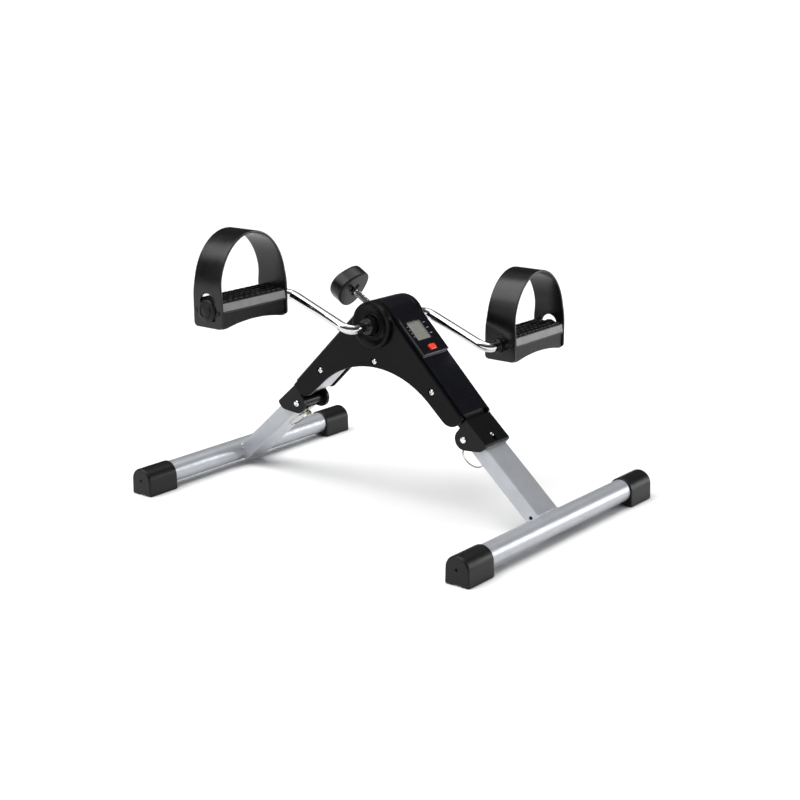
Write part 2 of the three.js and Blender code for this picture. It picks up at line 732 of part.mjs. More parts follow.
function lockPin(ringSide) {
  const profile = [
    [0, EYE_Z - 3.4],
    [2.4, EYE_Z - 3],
    [4, EYE_Z - 1.6],
    [4, EYE_Z + 1.6],
    [LOCK_RADIUS, EYE_Z + 3],
    [LOCK_RADIUS, COLLAR[0]],
    [5.2, COLLAR[0]],
    [5.2, COLLAR[1]],
    [LOCK_RADIUS, COLLAR[1]],
    [LOCK_RADIUS, LOCK_TIP - 1.6],
    [2, LOCK_TIP - 0.3],
    [0, LOCK_TIP],
  ];
  const body = turned(profile, SMALL_ROUND).translate(LOCK_X, 0, 0);
  return made([body], [atEye(ringGeometry(RING_WIRE + GAP), ringSide)]);
}

function coilSpring() {
  const { radius, wire, low, high, turns } = SPRING;
  const stepsPerTurn = 8;
  const path = new THREE.CatmullRomCurve3(
    Array.from({ length: turns * stepsPerTurn + 1 }, (_, i) => {
      const a = (i / stepsPerTurn) * 2 * Math.PI;
      const z = low + wire + ((high - low - 2 * wire) * i) / (turns * stepsPerTurn);
      return new THREE.Vector3(radius * Math.cos(a), radius * Math.sin(a), z);
    }),
  );
  const section = new THREE.Shape(arc(0, 0, wire, 0, 270, 3));
  const steps = turns * stepsPerTurn;
  return new THREE.ExtrudeGeometry(section, { steps, extrudePath: path }).translate(LOCK_X, 0, 0);
}

for (const { name, leg, ringSide } of SIDES) {
  const guide = turned(GUIDE_PROFILE, SMALL_ROUND).translate(LOCK_X, 0, 0);
  place(leg, `${name}_lock_guide`, made([guide]), zinc);
  place(leg, `${name}_lock_pin`, lockPin(ringSide), zinc);
  place(leg, `${name}_lock_spring`, made([coilSpring()]), springSteel);
  place(leg, `${name}_pull_ring`, made([atEye(ringGeometry(RING_WIRE), ringSide)]), zinc);
}

// ---- crank rods, bent out, along the arm, and out again as the pedal's spindle ----
const SPINDLE_END = PEDAL_OUTER - 14;
const ROD_SIDES = 10;
const ROD_STEPS = 40;

function crankRod(direction) {
  const hub = new THREE.Vector3(0, direction * GAP, 0);
  const elbow = new THREE.Vector3(0, direction * ARM_Y, 0);
  const tip = new THREE.Vector3(direction * CRANK_RADIUS, direction * ARM_Y, 0);
  const spindle = new THREE.Vector3(direction * CRANK_RADIUS, direction * SPINDLE_END, 0);
  const path = new THREE.CurvePath();
  const corners = [elbow, tip];
  const stops = [hub, elbow, tip, spindle];
  let from = hub;
  corners.forEach((corner, i) => {
    const back = stops[i].clone().sub(corner).setLength(ROD_BEND).add(corner);
    const on = stops[i + 2].clone().sub(corner).setLength(ROD_BEND).add(corner);
    path.add(new THREE.LineCurve3(from, back));
    path.add(new THREE.QuadraticBezierCurve3(back, corner, on));
    from = on;
  });
  path.add(new THREE.LineCurve3(from, spindle));
  const section = new THREE.Shape(arc(0, 0, ROD_RADIUS, 0, 360 - 360 / ROD_SIDES, ROD_SIDES - 1));
  return new THREE.ExtrudeGeometry(section, { steps: ROD_STEPS, extrudePath: path });
}
const PEDALS = [
  { name: "near", direction: -1 },
  { name: "far", direction: 1 },
];
const SPACER_PROFILE = [
  [ROD_RADIUS + 0.1, 33.4],
  [11.4, 33.4],
  [10, 43.5],
  [ROD_RADIUS + 0.1, 43.5],
];
const COLLAR_PROFILE = [
  [ROD_RADIUS + 0.1, 93],
  [8.6, 93],
  [8.6, 98.6],
  [ROD_RADIUS + 0.1, 98.6],
];
for (const { name, direction } of PEDALS) {
  place(crank, `${name}_crank_rod`, made([crankRod(direction)]), chrome);
  place(crank, `${name}_hub_spacer`, made([turnedY(SPACER_PROFILE, direction)]), satinBlack);
  const collar = turnedY(COLLAR_PROFILE, direction).translate(direction * CRANK_RADIUS, 0, 0);
  place(crank, `${name}_spindle_collar`, made([collar]), chrome);
}

// ---- pedals: a hollow ribbed body, a moulded strap pegged to both ends, and a spindle cap ----
const PEG = { x: 17, z: -1, radius: 2.6 };
const HOLE_HALF = 12;
const HOLE_TOP = 21;
const BODY = [PEDAL_INNER + STRAP_THICK + GAP, PEDAL_OUTER - STRAP_THICK - GAP];
const BODY_WALL = 2.6;
const SPINDLE_BOSS = 9.4;
const PEDAL_BORE = ROD_RADIUS + 0.3;
const CAP_BOSS = 11.7;
const STUD_ROWS = 5;
const HOOP_STEPS = 20;
const BELLY_SIDES = 60;
const BELLY_RISE = 7;

function bodyOutline(inset) {
  return [
    [-20.6 + inset, PEDAL_FLOOR],
    [20.6 - inset, PEDAL_FLOOR],
    [21.2 - inset, -1.6],
    [23 - inset, -1],
    [21.6 - inset, PEDAL_TOP - 1.6 - inset],
    [-21.6 + inset, PEDAL_TOP - 1.6 - inset],
    [-23 + inset, -1],
    [-21.2 + inset, -1.6],
  ].map(([x, z]) => new THREE.Vector2(x, z));
}

function pedalBody() {
  const [y0, y1] = BODY;
  const middle = (y0 + y1) / 2;
  const shell = slab(bodyOutline(0), y0, y1);
  const hollow = slab(bodyOutline(BODY_WALL), y0 + BODY_WALL, y1 - BODY_WALL).translate(0, 0, -0.5);
  const treads = Array.from({ length: STUD_ROWS }, (_, i) => {
    const x = -17 + (34 * i) / (STUD_ROWS - 1);
    return box([x - 1.9, x + 1.9], [y0 + 2, y1 - 2], [PEDAL_TOP - 2.6, PEDAL_TOP]);
  });
  const boss = rodY(SPINDLE_BOSS, y0 + 1, y1 - 1);
  const halfBody = (y1 - y0) / 2 - 6;
  const rise = BELLY_RISE;
  const archRadius = (halfBody * halfBody + rise * rise) / (2 * rise);
  const bellyArch = rod(
    archRadius,
    [-40, middle, PEDAL_FLOOR + rise - archRadius],
    [40, middle, PEDAL_FLOOR + rise - archRadius],
    BELLY_SIDES,
  );
  const pegs = [-1, 1].flatMap((s) => [
    rodY(PEG.radius, y0 - STRAP_THICK - 1.2, y0 + 1, s * PEG.x, PEG.z, HOLE_ROUND),
    rodY(PEG.radius, y1 - 1, y1 + STRAP_THICK + 1.2, s * PEG.x, PEG.z, HOLE_ROUND),
  ]);
  const bore = rodY(PEDAL_BORE, y0 - 5, y1 + 5);
  return made([made([shell], [hollow]), boss, ...treads, ...pegs], [bellyArch, bore]);
}

// The strap's band runs up one end, over in a half oval and down the other.
function strapGeometry() {
  const middle = (PEDAL_INNER + PEDAL_OUTER) / 2;
  const halfSpan = (PEDAL_OUTER - PEDAL_INNER) / 2;
  const spring = 22;
  const rise = STRAP_TOP - spring;
  const hoop = (inset, foot) => [
    new THREE.Vector2(halfSpan - inset, foot),
    ...Array.from({ length: HOOP_STEPS + 1 }, (_, i) => {
      const a = (i / HOOP_STEPS) * Math.PI;
      return new THREE.Vector2((halfSpan - inset) * Math.cos(a), spring + (rise - inset) * Math.sin(a));
    }),
    new THREE.Vector2(inset - halfSpan, foot),
  ];
  const thick = (outline, half) => slab(outline, -half, half).rotateZ(-Math.PI / 2).translate(0, middle, 0);
  const band = thick(hoop(0, PEDAL_FLOOR), STRAP_HALF.end);
  const inside = thick(hoop(STRAP_THICK, PEDAL_FLOOR - 5), STRAP_HALF.end + 1);
  const { end, middle: waist } = STRAP_HALF;
  const front = new THREE.Shape();
  front.moveTo(5 - end, PEDAL_FLOOR);
  front.lineTo(end - 5, PEDAL_FLOOR);
  front.absarc(end - 5, PEDAL_FLOOR + 5, 5, -Math.PI / 2, 0, false);
  front.lineTo(end, PEDAL_TOP);
  front.lineTo(waist, 40);
  front.lineTo(waist, STRAP_TOP + 1);
  front.lineTo(-waist, STRAP_TOP + 1);
  front.lineTo(-waist, 40);
  front.lineTo(-end, PEDAL_TOP);
  front.absarc(5 - end, PEDAL_FLOOR + 5, 5, Math.PI, 1.5 * Math.PI, false);
  const trim = slab(front, PEDAL_INNER - 1, PEDAL_OUTER + 1);
  const window = new THREE.Shape();
  window.moveTo(HOLE_HALF, -HOLE_HALF);
  window.lineTo(HOLE_HALF, HOLE_TOP - HOLE_HALF);
  window.absarc(0, HOLE_TOP - HOLE_HALF, HOLE_HALF, 0, Math.PI, false);
  window.lineTo(-HOLE_HALF, -HOLE_HALF);
  const holes = [
    rodY(SPINDLE_BOSS, PEDAL_INNER - 1, PEDAL_INNER + 8),
    slab(window, PEDAL_OUTER - 8, PEDAL_OUTER + 1),
    ...[-1, 1].map((s) => rodY(PEG.radius + GAP, 90, 220, s * PEG.x, PEG.z, HOLE_ROUND)),
  ];
  const shaped = solid(made([band], [inside])).intersect(solid(trim));
  return made([geometryOf(shaped)], holes);
}

// A button that closes the strap's outer window in front of the spindle's end.
function spindleCap() {
  const y0 = BODY[1] + GAP;
  const profile = [
    [0, y0],
    [CAP_BOSS, y0],
    [CAP_BOSS, PEDAL_OUTER + 1.4],
    [CAP_BOSS - 1.6, PEDAL_OUTER + 3],
    [6, PEDAL_OUTER + 3.6],
    [0, PEDAL_OUTER + 3.8],
  ];
  return made([turnedY(profile)]);
}

for (const { name, direction } of PEDALS) {
  const height = AXLE_Z - direction * CRANK_RADIUS * Math.sin(CRANK_ANGLE);
  const reach = direction * CRANK_RADIUS * Math.cos(CRANK_ANGLE);
  const pedal = group(object, [reach, 0, height], 0, direction < 0 ? Math.PI : 0);
  place(pedal, `${name}_pedal_body`, pedalBody(), satinBlack);
  place(pedal, `${name}_foot_strap`, strapGeometry(), strapBlack);
  place(pedal, `${name}_spindle_cap`, spindleCap(), satinBlack);
}

export default object;
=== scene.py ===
"""Looks of the folding pedal exerciser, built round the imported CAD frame.

Shapes are drawn in millimetres in the same local frames as the solids (the arch slope, the leg, the
pedal, the crank) and written to the meshes in metres.
"""

import math

import bmesh
import bpy
from mathutils import Matrix, Vector, noise


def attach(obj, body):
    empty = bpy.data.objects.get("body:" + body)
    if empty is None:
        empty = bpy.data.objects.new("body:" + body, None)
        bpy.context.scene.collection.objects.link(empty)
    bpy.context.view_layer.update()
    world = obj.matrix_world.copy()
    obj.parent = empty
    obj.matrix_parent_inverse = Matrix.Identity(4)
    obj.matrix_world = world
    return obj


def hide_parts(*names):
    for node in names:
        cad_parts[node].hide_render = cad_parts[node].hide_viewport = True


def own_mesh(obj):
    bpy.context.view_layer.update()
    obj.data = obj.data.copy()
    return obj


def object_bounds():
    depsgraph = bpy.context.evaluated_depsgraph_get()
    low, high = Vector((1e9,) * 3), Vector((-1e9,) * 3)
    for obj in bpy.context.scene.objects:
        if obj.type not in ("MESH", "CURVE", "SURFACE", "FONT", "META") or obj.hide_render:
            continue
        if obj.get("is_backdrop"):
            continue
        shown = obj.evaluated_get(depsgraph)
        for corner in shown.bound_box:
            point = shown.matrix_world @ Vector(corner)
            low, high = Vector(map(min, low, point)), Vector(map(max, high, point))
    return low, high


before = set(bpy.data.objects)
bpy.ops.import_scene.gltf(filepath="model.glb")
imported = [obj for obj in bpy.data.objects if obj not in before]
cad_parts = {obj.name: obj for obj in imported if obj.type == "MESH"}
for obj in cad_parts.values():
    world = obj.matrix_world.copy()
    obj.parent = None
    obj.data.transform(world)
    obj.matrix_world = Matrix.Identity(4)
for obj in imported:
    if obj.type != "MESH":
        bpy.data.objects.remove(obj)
cad_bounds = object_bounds()
scene = bpy.context.scene
MM = 0.001

# ---- driving dimensions, the same as the solids' ----
AXLE_Z = 225
PIVOT = (132.5, 0, 103)
ARCH_SLOPE = math.radians(45)
LEG_SLOPE = math.radians(41.7)
CRANK_ANGLE = math.radians(20.6)
KNOB_TILT = math.radians(-60)
CRANK_RADIUS = 102
BAR = (247.8, 0, 19)
BAR_RADIUS = 14
BAR_HALF = 187.5
TUBE_WALL = 1.5
CAP_SPAN = (144.7, 192)
PEDAL_SPAN = (101, 212)
PEDAL_TOP = 13
PEDAL_FLOOR = -20
STRAP_TOP = 88
STRAP_THICK = 2.8
ROD_RADIUS = 6
ARM_Y = 74
EYE = (13.65, 0, -13)
RING_RADIUS = 14.5
SIDES = (("right", 0.0), ("left", math.pi))
WAYS = (("near", -1), ("far", 1))


def turn_y(a):
    return Matrix.Rotation(a, 4, "Y")


def turn_z(a):
    return Matrix.Rotation(a, 4, "Z")


def move(x, y, z):
    return Matrix.Translation((x, y, z))


def leg_frame_of(turn):
    return turn_z(turn) @ move(*PIVOT) @ turn_y(LEG_SLOPE)


def foot_frame_of(turn):
    return turn_z(turn) @ move(*BAR)


def pedal_frame_of(direction):
    x = direction * CRANK_RADIUS * math.cos(CRANK_ANGLE)
    z = AXLE_Z - direction * CRANK_RADIUS * math.sin(CRANK_ANGLE)
    return move(x, 0, z) @ turn_z(math.pi if direction < 0 else 0)


WORLD = Matrix.Identity(4)
AXLE = move(0, 0, AXLE_Z)
MONITOR = AXLE @ turn_y(ARCH_SLOPE)
CRANK = AXLE @ turn_y(CRANK_ANGLE)
TENSION = AXLE @ turn_y(KNOB_TILT)
LOCK_AXIS = move(EYE[0], 0, 0)

# ---- camera ----
AZIMUTH, ELEVATION, ROLL = math.radians(38.88), math.radians(15.30), math.radians(-0.36)
LENS = 70.6536
SENSOR = 36
CAMERA_AT = (1185.57, -1452.63, 637.44)
VIEW_SHIFT = 0.0025
CLIP = (0.05, 500)


def add_camera():
    data = bpy.data.cameras.new("view")
    data.sensor_width = SENSOR
    data.lens = LENS
    data.clip_start, data.clip_end = CLIP
    data.shift_x = VIEW_SHIFT
    obj = bpy.data.objects.new("view", data)
    scene.collection.objects.link(obj)
    ca, sa = math.cos(AZIMUTH), math.sin(AZIMUTH)
    ce, se = math.cos(ELEVATION), math.sin(ELEVATION)
    forward = Vector((-sa * ce, ca * ce, -se))
    right = Vector((ca, sa, 0))
    up = right.cross(forward)
    axes = Matrix((right, up, -forward)).transposed().to_4x4()
    obj.matrix_world = Matrix.Translation(Vector(CAMERA_AT) * MM) @ axes @ turn_z(ROLL)
    scene.camera = obj


add_camera()

# ---- materials ----
NOISE_BAND = (0.3, 0.7)
SCUFF_SCALE, SCUFF_BAND = 240, (0.63, 0.72)
WEAR_SCALE, WEAR_BAND = 160, (0.45, 0.6)
EDGE_BAND = (0.53, 0.62)
GRAIN_DEPTH = 0.0004
MATERIALS = {}


def noise_node(tree, coords, scale, detail):
    node = tree.nodes.new("ShaderNodeTexNoise")
    node.inputs["Scale"].default_value = scale
    node.inputs["Detail"].default_value = detail
    tree.links.new(coords, node.inputs["Vector"])
    return node.outputs["Fac"]


def remap(tree, value, low, high, to_low, to_high):
    node = tree.nodes.new("ShaderNodeMapRange")
    limits = {"From Min": low, "From Max": high, "To Min": to_low, "To Max": to_high}
    for name, number in limits.items():
        node.inputs[name].default_value = number
    tree.links.new(value, node.inputs["Value"])
    return node.outputs["Result"]


def blend_colour(tree, factor, a, b):
    node = tree.nodes.new("ShaderNodeMix")
    node.data_type = "RGBA"
    tree.links.new(factor, node.inputs[0])
    for socket, value in ((node.inputs[6], a), (node.inputs[7], b)):
        if isinstance(value, tuple):
            socket.default_value = (*value, 1)
        else:
            tree.links.new(value, socket)
    return node.outputs[2]


def worn_edges(tree, coords, amount):
    """How worn each point is: most on the ridges, in patches."""
    edge = tree.nodes.new("ShaderNodeNewGeometry").outputs["Pointiness"]
    product = tree.nodes.new("ShaderNodeMath")
    product.operation = "MULTIPLY"
    tree.links.new(remap(tree, edge, *EDGE_BAND, 0, amount), product.inputs[0])
    patches = remap(tree, noise_node(tree, coords, WEAR_SCALE, 4), *WEAR_BAND, 0, 1)
    tree.links.new(patches, product.inputs[1])
    return product.outputs[0]


def finish(
    name,
    colour,
    rough,
    metallic=0.0,
    vary=0.12,
    vary_scale=30,
    rough_vary=0.06,
    grain=0.05,
    grain_scale=900,
    wear=None,
    wear_amount=0.5,
    scuffed=False,
    coat=0.0,
    coat_rough=0.1,
    specular=0.5,
):
    """A surface with cloudy colour, uneven gloss and a fine grain.

    Where wear gives a colour, the surface has that colour in scattered scuffs or along its edges.
    """
    material = bpy.data.materials.new(name)
    material.use_nodes = True
    tree = material.node_tree
    shader = tree.nodes["Principled BSDF"]
    shader.inputs["Metallic"].default_value = metallic
    shader.inputs["Coat Weight"].default_value = coat
    shader.inputs["Coat Roughness"].default_value = coat_rough
    shader.inputs["Specular IOR Level"].default_value = specular
    coords = tree.nodes.new("ShaderNodeTexCoord").outputs["Object"]
    cloud = remap(tree, noise_node(tree, coords, vary_scale, 5), *NOISE_BAND, 0, 1)
    dark = tuple(c * (1 - vary) for c in colour)
    light = tuple(min(1, c * (1 + vary)) for c in colour)
    base = blend_colour(tree, cloud, dark, light)
    if wear and scuffed:
        scuffs = remap(tree, noise_node(tree, coords, SCUFF_SCALE, 6), *SCUFF_BAND, 0, wear_amount)
        base = blend_colour(tree, scuffs, base, wear)
    elif wear:
        base = blend_colour(tree, worn_edges(tree, coords, wear_amount), base, wear)
    tree.links.new(base, shader.inputs["Base Color"])
    gloss_noise = noise_node(tree, coords, vary_scale * 2.5, 4)
    gloss = remap(tree, gloss_noise, *NOISE_BAND, rough - rough_vary, rough + rough_vary)
    tree.links.new(gloss, shader.inputs["Roughness"])
    if grain:
        bump = tree.nodes.new("ShaderNodeBump")
        bump.inputs["Strength"].default_value = grain
        bump.inputs["Distance"].default_value = GRAIN_DEPTH
        tree.links.new(noise_node(tree, coords, grain_scale, 3), bump.inputs["Height"])
        tree.links.new(bump.outputs["Normal"], shader.inputs["Normal"])
    MATERIALS[name] = material
    return material


def add_finishes():
    finish("silver_paint", (0.44, 0.455, 0.485), 0.38, 0.5, vary=0.05, vary_scale=60,
           grain=0.12, grain_scale=2600, coat=0.25, coat_rough=0.25)
    finish("silver_weld", (0.42, 0.43, 0.46), 0.42, 0.6, vary=0.16, vary_scale=300,
           grain=0.5, grain_scale=700)
    finish("gloss_cover", (0.0045, 0.0048, 0.0075), 0.17, vary=0.1, rough_vary=0.02, specular=0.35,
           grain=0.04, grain_scale=700, wear=(0.02, 0.02, 0.023), wear_amount=0.25, scuffed=True)
    finish("satin_cover", (0.0035, 0.0035, 0.0038), 0.32, vary=0.1, rough_vary=0.02, specular=0.1,
           grain=0.12, grain_scale=1500, wear=(0.06, 0.06, 0.06), wear_amount=0.5)
    finish("screw_steel", (0.72, 0.73, 0.74), 0.22, 1.0, vary=0.06, grain=0.08)
    finish("nylon", (0.66, 0.63, 0.55), 0.5, vary=0.08)
    finish("band_felt", (0.07, 0.06, 0.05), 0.9, vary=0.3, vary_scale=400, grain=0.9, grain_scale=1800)
    finish("dark_steel", (0.32, 0.32, 0.33), 0.3, 1.0, vary=0.1, grain=0.1)
    finish("lcd", (0.07, 0.06, 0.036), 0.45, vary=0.08, vary_scale=80, grain=0.02)
    finish("lcd_segment", (0.055, 0.047, 0.028), 0.5, vary=0.05, grain=0.02)
    finish("board", (0.02, 0.1, 0.04), 0.4, vary=0.2)
    finish("red_key", (0.9, 0.05, 0.02), 0.3, vary=0.08, vary_scale=120, grain=0.06, coat=0.3)
    finish("printed_mark", (0.55, 0.55, 0.55), 0.5, vary=0.05, grain=0.02)
    finish("hinge_black", (0.004, 0.004, 0.0045), 0.3, vary=0.08, rough_vary=0.02, specular=0.18,
           grain=0.2, grain_scale=1300, wear=(0.03, 0.03, 0.032), wear_amount=0.3, scuffed=True)
    finish("cap_black", (0.006, 0.006, 0.0064), 0.36, vary=0.12, vary_scale=50, rough_vary=0.03,
           specular=0.22, grain=0.35, grain_scale=1400, wear=(0.07, 0.07, 0.07), wear_amount=0.5)
    finish("zinc", (0.45, 0.44, 0.38), 0.28, 1.0, vary=0.12, vary_scale=200, grain=0.15)
    finish("chrome_rod", (0.66, 0.665, 0.67), 0.1, 1.0, vary=0.03, rough_vary=0.03,
           grain=0.02, grain_scale=500)
    finish("hub_black", (0.006, 0.006, 0.0065), 0.25, specular=0.35, vary=0.2, grain=0.08)
    finish("pedal_black", (0.004, 0.004, 0.0043), 0.34, vary=0.15, vary_scale=60, rough_vary=0.03,
           specular=0.2, grain=0.3, grain_scale=1200, wear=(0.08, 0.08, 0.082), wear_amount=0.5)
    finish("pedal_band_grey", (0.17, 0.17, 0.175), 0.42, vary=0.12, vary_scale=90, grain=0.2)
    finish("strap_black", (0.0035, 0.0035, 0.0038), 0.22, vary=0.12, vary_scale=45, rough_vary=0.04,
           specular=0.34, grain=0.22, grain_scale=900, wear=(0.09, 0.09, 0.09), wear_amount=0.6)
    finish("shoe_pad", (0.02, 0.02, 0.02), 0.7, vary=0.2)
    finish("knob_black", (0.006, 0.006, 0.0072), 0.3, vary=0.12, rough_vary=0.02, specular=0.25,
           grain=0.15, grain_scale=1300, wear=(0.06, 0.06, 0.065), wear_amount=0.4)
    lens = finish("lens", (0.8, 0.82, 0.8), 0.05, vary=0.02, grain=0.0)
    lens.node_tree.nodes["Principled BSDF"].inputs["Alpha"].default_value = 0.12


add_finishes()


# ---- mesh helpers ----
def smooth_groups(v, limit):
    """The faces round a vertex, in groups that no sharp edge divides."""
    left = set(v.link_faces)
    while left:
        group, queue = [], [left.pop()]
        while queue:
            face = queue.pop()
            group.append(face)
            for e in v.link_edges:
                if face in e.link_faces and len(e.link_faces) == 2 and e.calc_face_angle() < limit:
                    for other in e.link_faces:
                        if other in left:
                            left.discard(other)
                            queue.append(other)
        yield group


def weighted_normals(bm, limit):
    """A normal for every face corner, led by the largest face of its smooth group."""
    bm.normal_update()
    area = {f: f.calc_area() for f in bm.faces}
    corner = {}
    for v in bm.verts:
        for group in smooth_groups(v, limit):
            total = Vector((0, 0, 0))
            for face in group:
                total += face.normal * area[face]
            if total.length == 0:
                total = group[0].normal.copy()
            for face in group:
                corner[(face, v)] = total.normalized()
    return [corner[(f, loop.vert)] for f in bm.faces for loop in f.loops]


def add_piece(name, bm, place, finishes, body, replaces=(), slot=None, sharp=32):
    """Adds a mesh drawn in the frame called place; slot is not used."""
    bm.transform(Matrix.Scale(MM, 4) @ place)
    normals = weighted_normals(bm, math.radians(sharp))
    mesh = bpy.data.meshes.new(name)
    bm.to_mesh(mesh)
    bm.free()
    finishes = [finishes] if isinstance(finishes, str) else finishes
    for finish_name in finishes:
        mesh.materials.append(MATERIALS[finish_name])
    mesh.shade_smooth()
    mesh.set_sharp_from_angle(angle=math.radians(sharp))
    mesh.normals_split_custom_set(normals)
    obj = bpy.data.objects.new(name, mesh)
    scene.collection.objects.link(obj)
    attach(obj, body)
    slot or finishes[0]
    if replaces:
        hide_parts(*replaces)
    return obj


def loft(rings, closed_path=False):
    """A skin over a row of rings, with flat ends unless the row runs back to its start."""
    bm = bmesh.new()
    rows = [[bm.verts.new(p) for p in ring] for ring in rings]
    pairs = list(zip(rows, rows[1:]))
    if closed_path:
        pairs.append((rows[-1], rows[0]))
    for a, b in pairs:
        for i in range(len(a)):
            j = (i + 1) % len(a)
            bm.faces.new((a[i], a[j], b[j], b[i]))
    if not closed_path:
        bm.faces.new(rows[0][::-1])
        bm.faces.new(rows[-1])
    bmesh.ops.recalc_face_normals(bm, faces=bm.faces)
    return bm


def lathe(profile, sides=72, closed=False):
    """Turns [radius, height] pairs about the local Z axis."""
    bm = bmesh.new()
    rows = []
    for radius, height in profile:
        if radius < 1e-6:
            rows.append([bm.verts.new((0, 0, height))])
            continue
        ring = []
        for i in range(sides):
            a = 2 * math.pi * i / sides
            ring.append(bm.verts.new((radius * math.cos(a), radius * math.sin(a), height)))
        rows.append(ring)
    pairs = list(zip(rows, rows[1:]))
    if closed:
        pairs.append((rows[-1], rows[0]))
    for a, b in pairs:
        for i in range(sides):
            j = (i + 1) % sides
            if len(a) == 1 and len(b) > 1:
                bm.faces.new((a[0], b[j], b[i]))
            elif len(b) == 1 and len(a) > 1:
                bm.faces.new((a[i], a[j], b[0]))
            elif len(a) > 1:
                bm.faces.new((a[i], a[j], b[j], b[i]))
    bmesh.ops.recalc_face_normals(bm, faces=bm.faces)
    return bm


def lathe_y(profile, direction=1, sides=72, closed=False):
    """Turns [radius, distance] pairs about the local Y axis, the near way when direction is -1."""
    bm = lathe(profile, sides, closed)
    bm.transform(Matrix.Rotation(-direction * math.pi / 2, 4, "X"))
    return bm


def rod(radius, low, high):
    """The profile of a plain solid rod."""
    return [(0, low), (radius, low), (radius, high), (0, high)]


def rectangle(low_x, high_x, low_z, high_z):
    return [(low_x, low_z), (high_x, low_z), (high_x, high_z), (low_x, high_z)]


def curve_at(start, control, end, t):
    return (1 - t) ** 2 * start + 2 * t * (1 - t) * control + t * t * end


def rounded(outline, radius, steps):
    """Rounds the corners of a closed outline."""
    out = []
    count = len(outline)
    for i, p in enumerate(outline):
        p = Vector(p)
        to_last = Vector(outline[i - 1]) - p
        to_next = Vector(outline[(i + 1) % count]) - p
        reach = min(radius, 0.45 * to_last.length, 0.45 * to_next.length)
        start = p + to_last.normalized() * reach
        end = p + to_next.normalized() * reach
        out += [tuple(curve_at(start, p, end, k / steps)) for k in range(steps + 1)]
    return out


def inset(outline, distance):
    """Moves each point of a closed anticlockwise outline inwards."""
    out = []
    count = len(outline)
    for i, p in enumerate(outline):
        p = Vector(p)
        before = (p - Vector(outline[i - 1])).normalized()
        after = (Vector(outline[(i + 1) % count]) - p).normalized()
        n1, n2 = Vector((-before.y, before.x)), Vector((-after.y, after.x))
        mitre = (n1 + n2) / max(0.35, 1 + n1.dot(n2))
        out.append(tuple(p + mitre * distance))
    return out


def anticlockwise(outline):
    area = sum(a[0] * b[1] - b[0] * a[1] for a, b in zip(outline, outline[1:] + outline[:1]))
    return outline if area > 0 else outline[::-1]


def slab(outline, y0, y1, edge, steps=4):
    """An outline in X and Z thickened along Y, with rounded edges."""
    outline = anticlockwise(outline)
    near, far = [], []
    for k in range(steps + 1):
        a = 0.5 * math.pi * k / steps
        shrunk = inset(outline, edge * (1 - math.sin(a)))
        sink = edge * (1 - math.cos(a))
        near.append([(x, y0 + sink, z) for x, z in shrunk])
        far.append([(x, y1 - sink, z) for x, z in shrunk])
    return loft(near + far[::-1])


def tube(points, radius, sides, closed=False):
    """A round bar along a path."""
    points = [Vector(p) for p in points]
    count = len(points)
    rings = []
    normal = None
    for i, p in enumerate(points):
        if closed:
            tangent = (points[(i + 1) % count] - points[i - 1]).normalized()
        else:
            tangent = (points[min(i + 1, count - 1)] - points[max(i - 1, 0)]).normalized()
        if normal is None:
            normal = tangent.orthogonal().normalized()
        normal = (normal - tangent * normal.dot(tangent)).normalized()
        side = tangent.cross(normal)
        ring = []
        for k in range(sides):
            a = 2 * math.pi * k / sides
            ring.append(p + normal * (radius * math.cos(a)) + side * (radius * math.sin(a)))
        rings.append(ring)
    return loft(rings, closed_path=closed)


def merge(*parts):
    """Several meshes in one."""
    whole = parts[0]
    for part in parts[1:]:
        mesh = bpy.data.meshes.new("part")
        part.to_mesh(mesh)
        part.free()
        whole.from_mesh(mesh)
        bpy.data.meshes.remove(mesh)
    return whole


def moved(bm, matrix):
    bm.transform(matrix)
    return bm


def cut(bm, *cutters):
    """Takes the cutters away from the first mesh."""
    objects = []
    for part in (bm, *cutters):
        mesh = bpy.data.meshes.new("cutting")
        part.to_mesh(mesh)
        part.free()
        obj = bpy.data.objects.new("cutting", mesh)
        scene.collection.objects.link(obj)
        objects.append(obj)
    for cutter in objects[1:]:
        modifier = objects[0].modifiers.new("cut", "BOOLEAN")
        modifier.operation = "DIFFERENCE"
        modifier.solver = "EXACT"
        modifier.object = cutter
    graph = bpy.context.evaluated_depsgraph_get()
    result = bpy.data.meshes.new_from_object(objects[0].evaluated_get(graph))
    out = bmesh.new()
    out.from_mesh(result)
    for obj in objects:
        bpy.data.objects.remove(obj)
    return out


def block(x, y, z, edge=0.0):
    """A box between pairs of limits, with its edges rounded by edge."""
    bm = bmesh.new()
    bmesh.ops.create_cube(bm, size=1)
    size = [b - a for a, b in (x, y, z)]
    middle = [(a + b) / 2 for a, b in (x, y, z)]
    bm.transform(Matrix.Translation(middle) @ Matrix.Diagonal((*size, 1)))
    if edge:
        bmesh.ops.bevel(bm, geom=list(bm.edges), offset=edge, segments=2, profile=0.5, affect="EDGES")
    return bm


def from_solid(node, width, shortest=6.0):
    """The solid's own shape in millimetres, its sharp edges longer than shortest rounded by width."""
    bm = bmesh.new()
    bm.from_mesh(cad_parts[node].data)
    bmesh.ops.scale(bm, vec=(1 / MM,) * 3, verts=bm.verts)
    bmesh.ops.remove_doubles(bm, verts=bm.verts, dist=0.002)
    bmesh.ops.dissolve_limit(bm, angle_limit=math.radians(0.6), verts=bm.verts, edges=bm.edges)
    sharp_angle = math.radians(35)
    sharp = []
    for e in bm.edges:
        if len(e.link_faces) == 2 and e.calc_length() > shortest and e.calc_face_angle() > sharp_angle:
            sharp.append(e)
    bmesh.ops.bevel(bm, geom=sharp, offset=width, segments=3, profile=0.5, affect="EDGES",
                    clamp_overlap=True)
    return bm


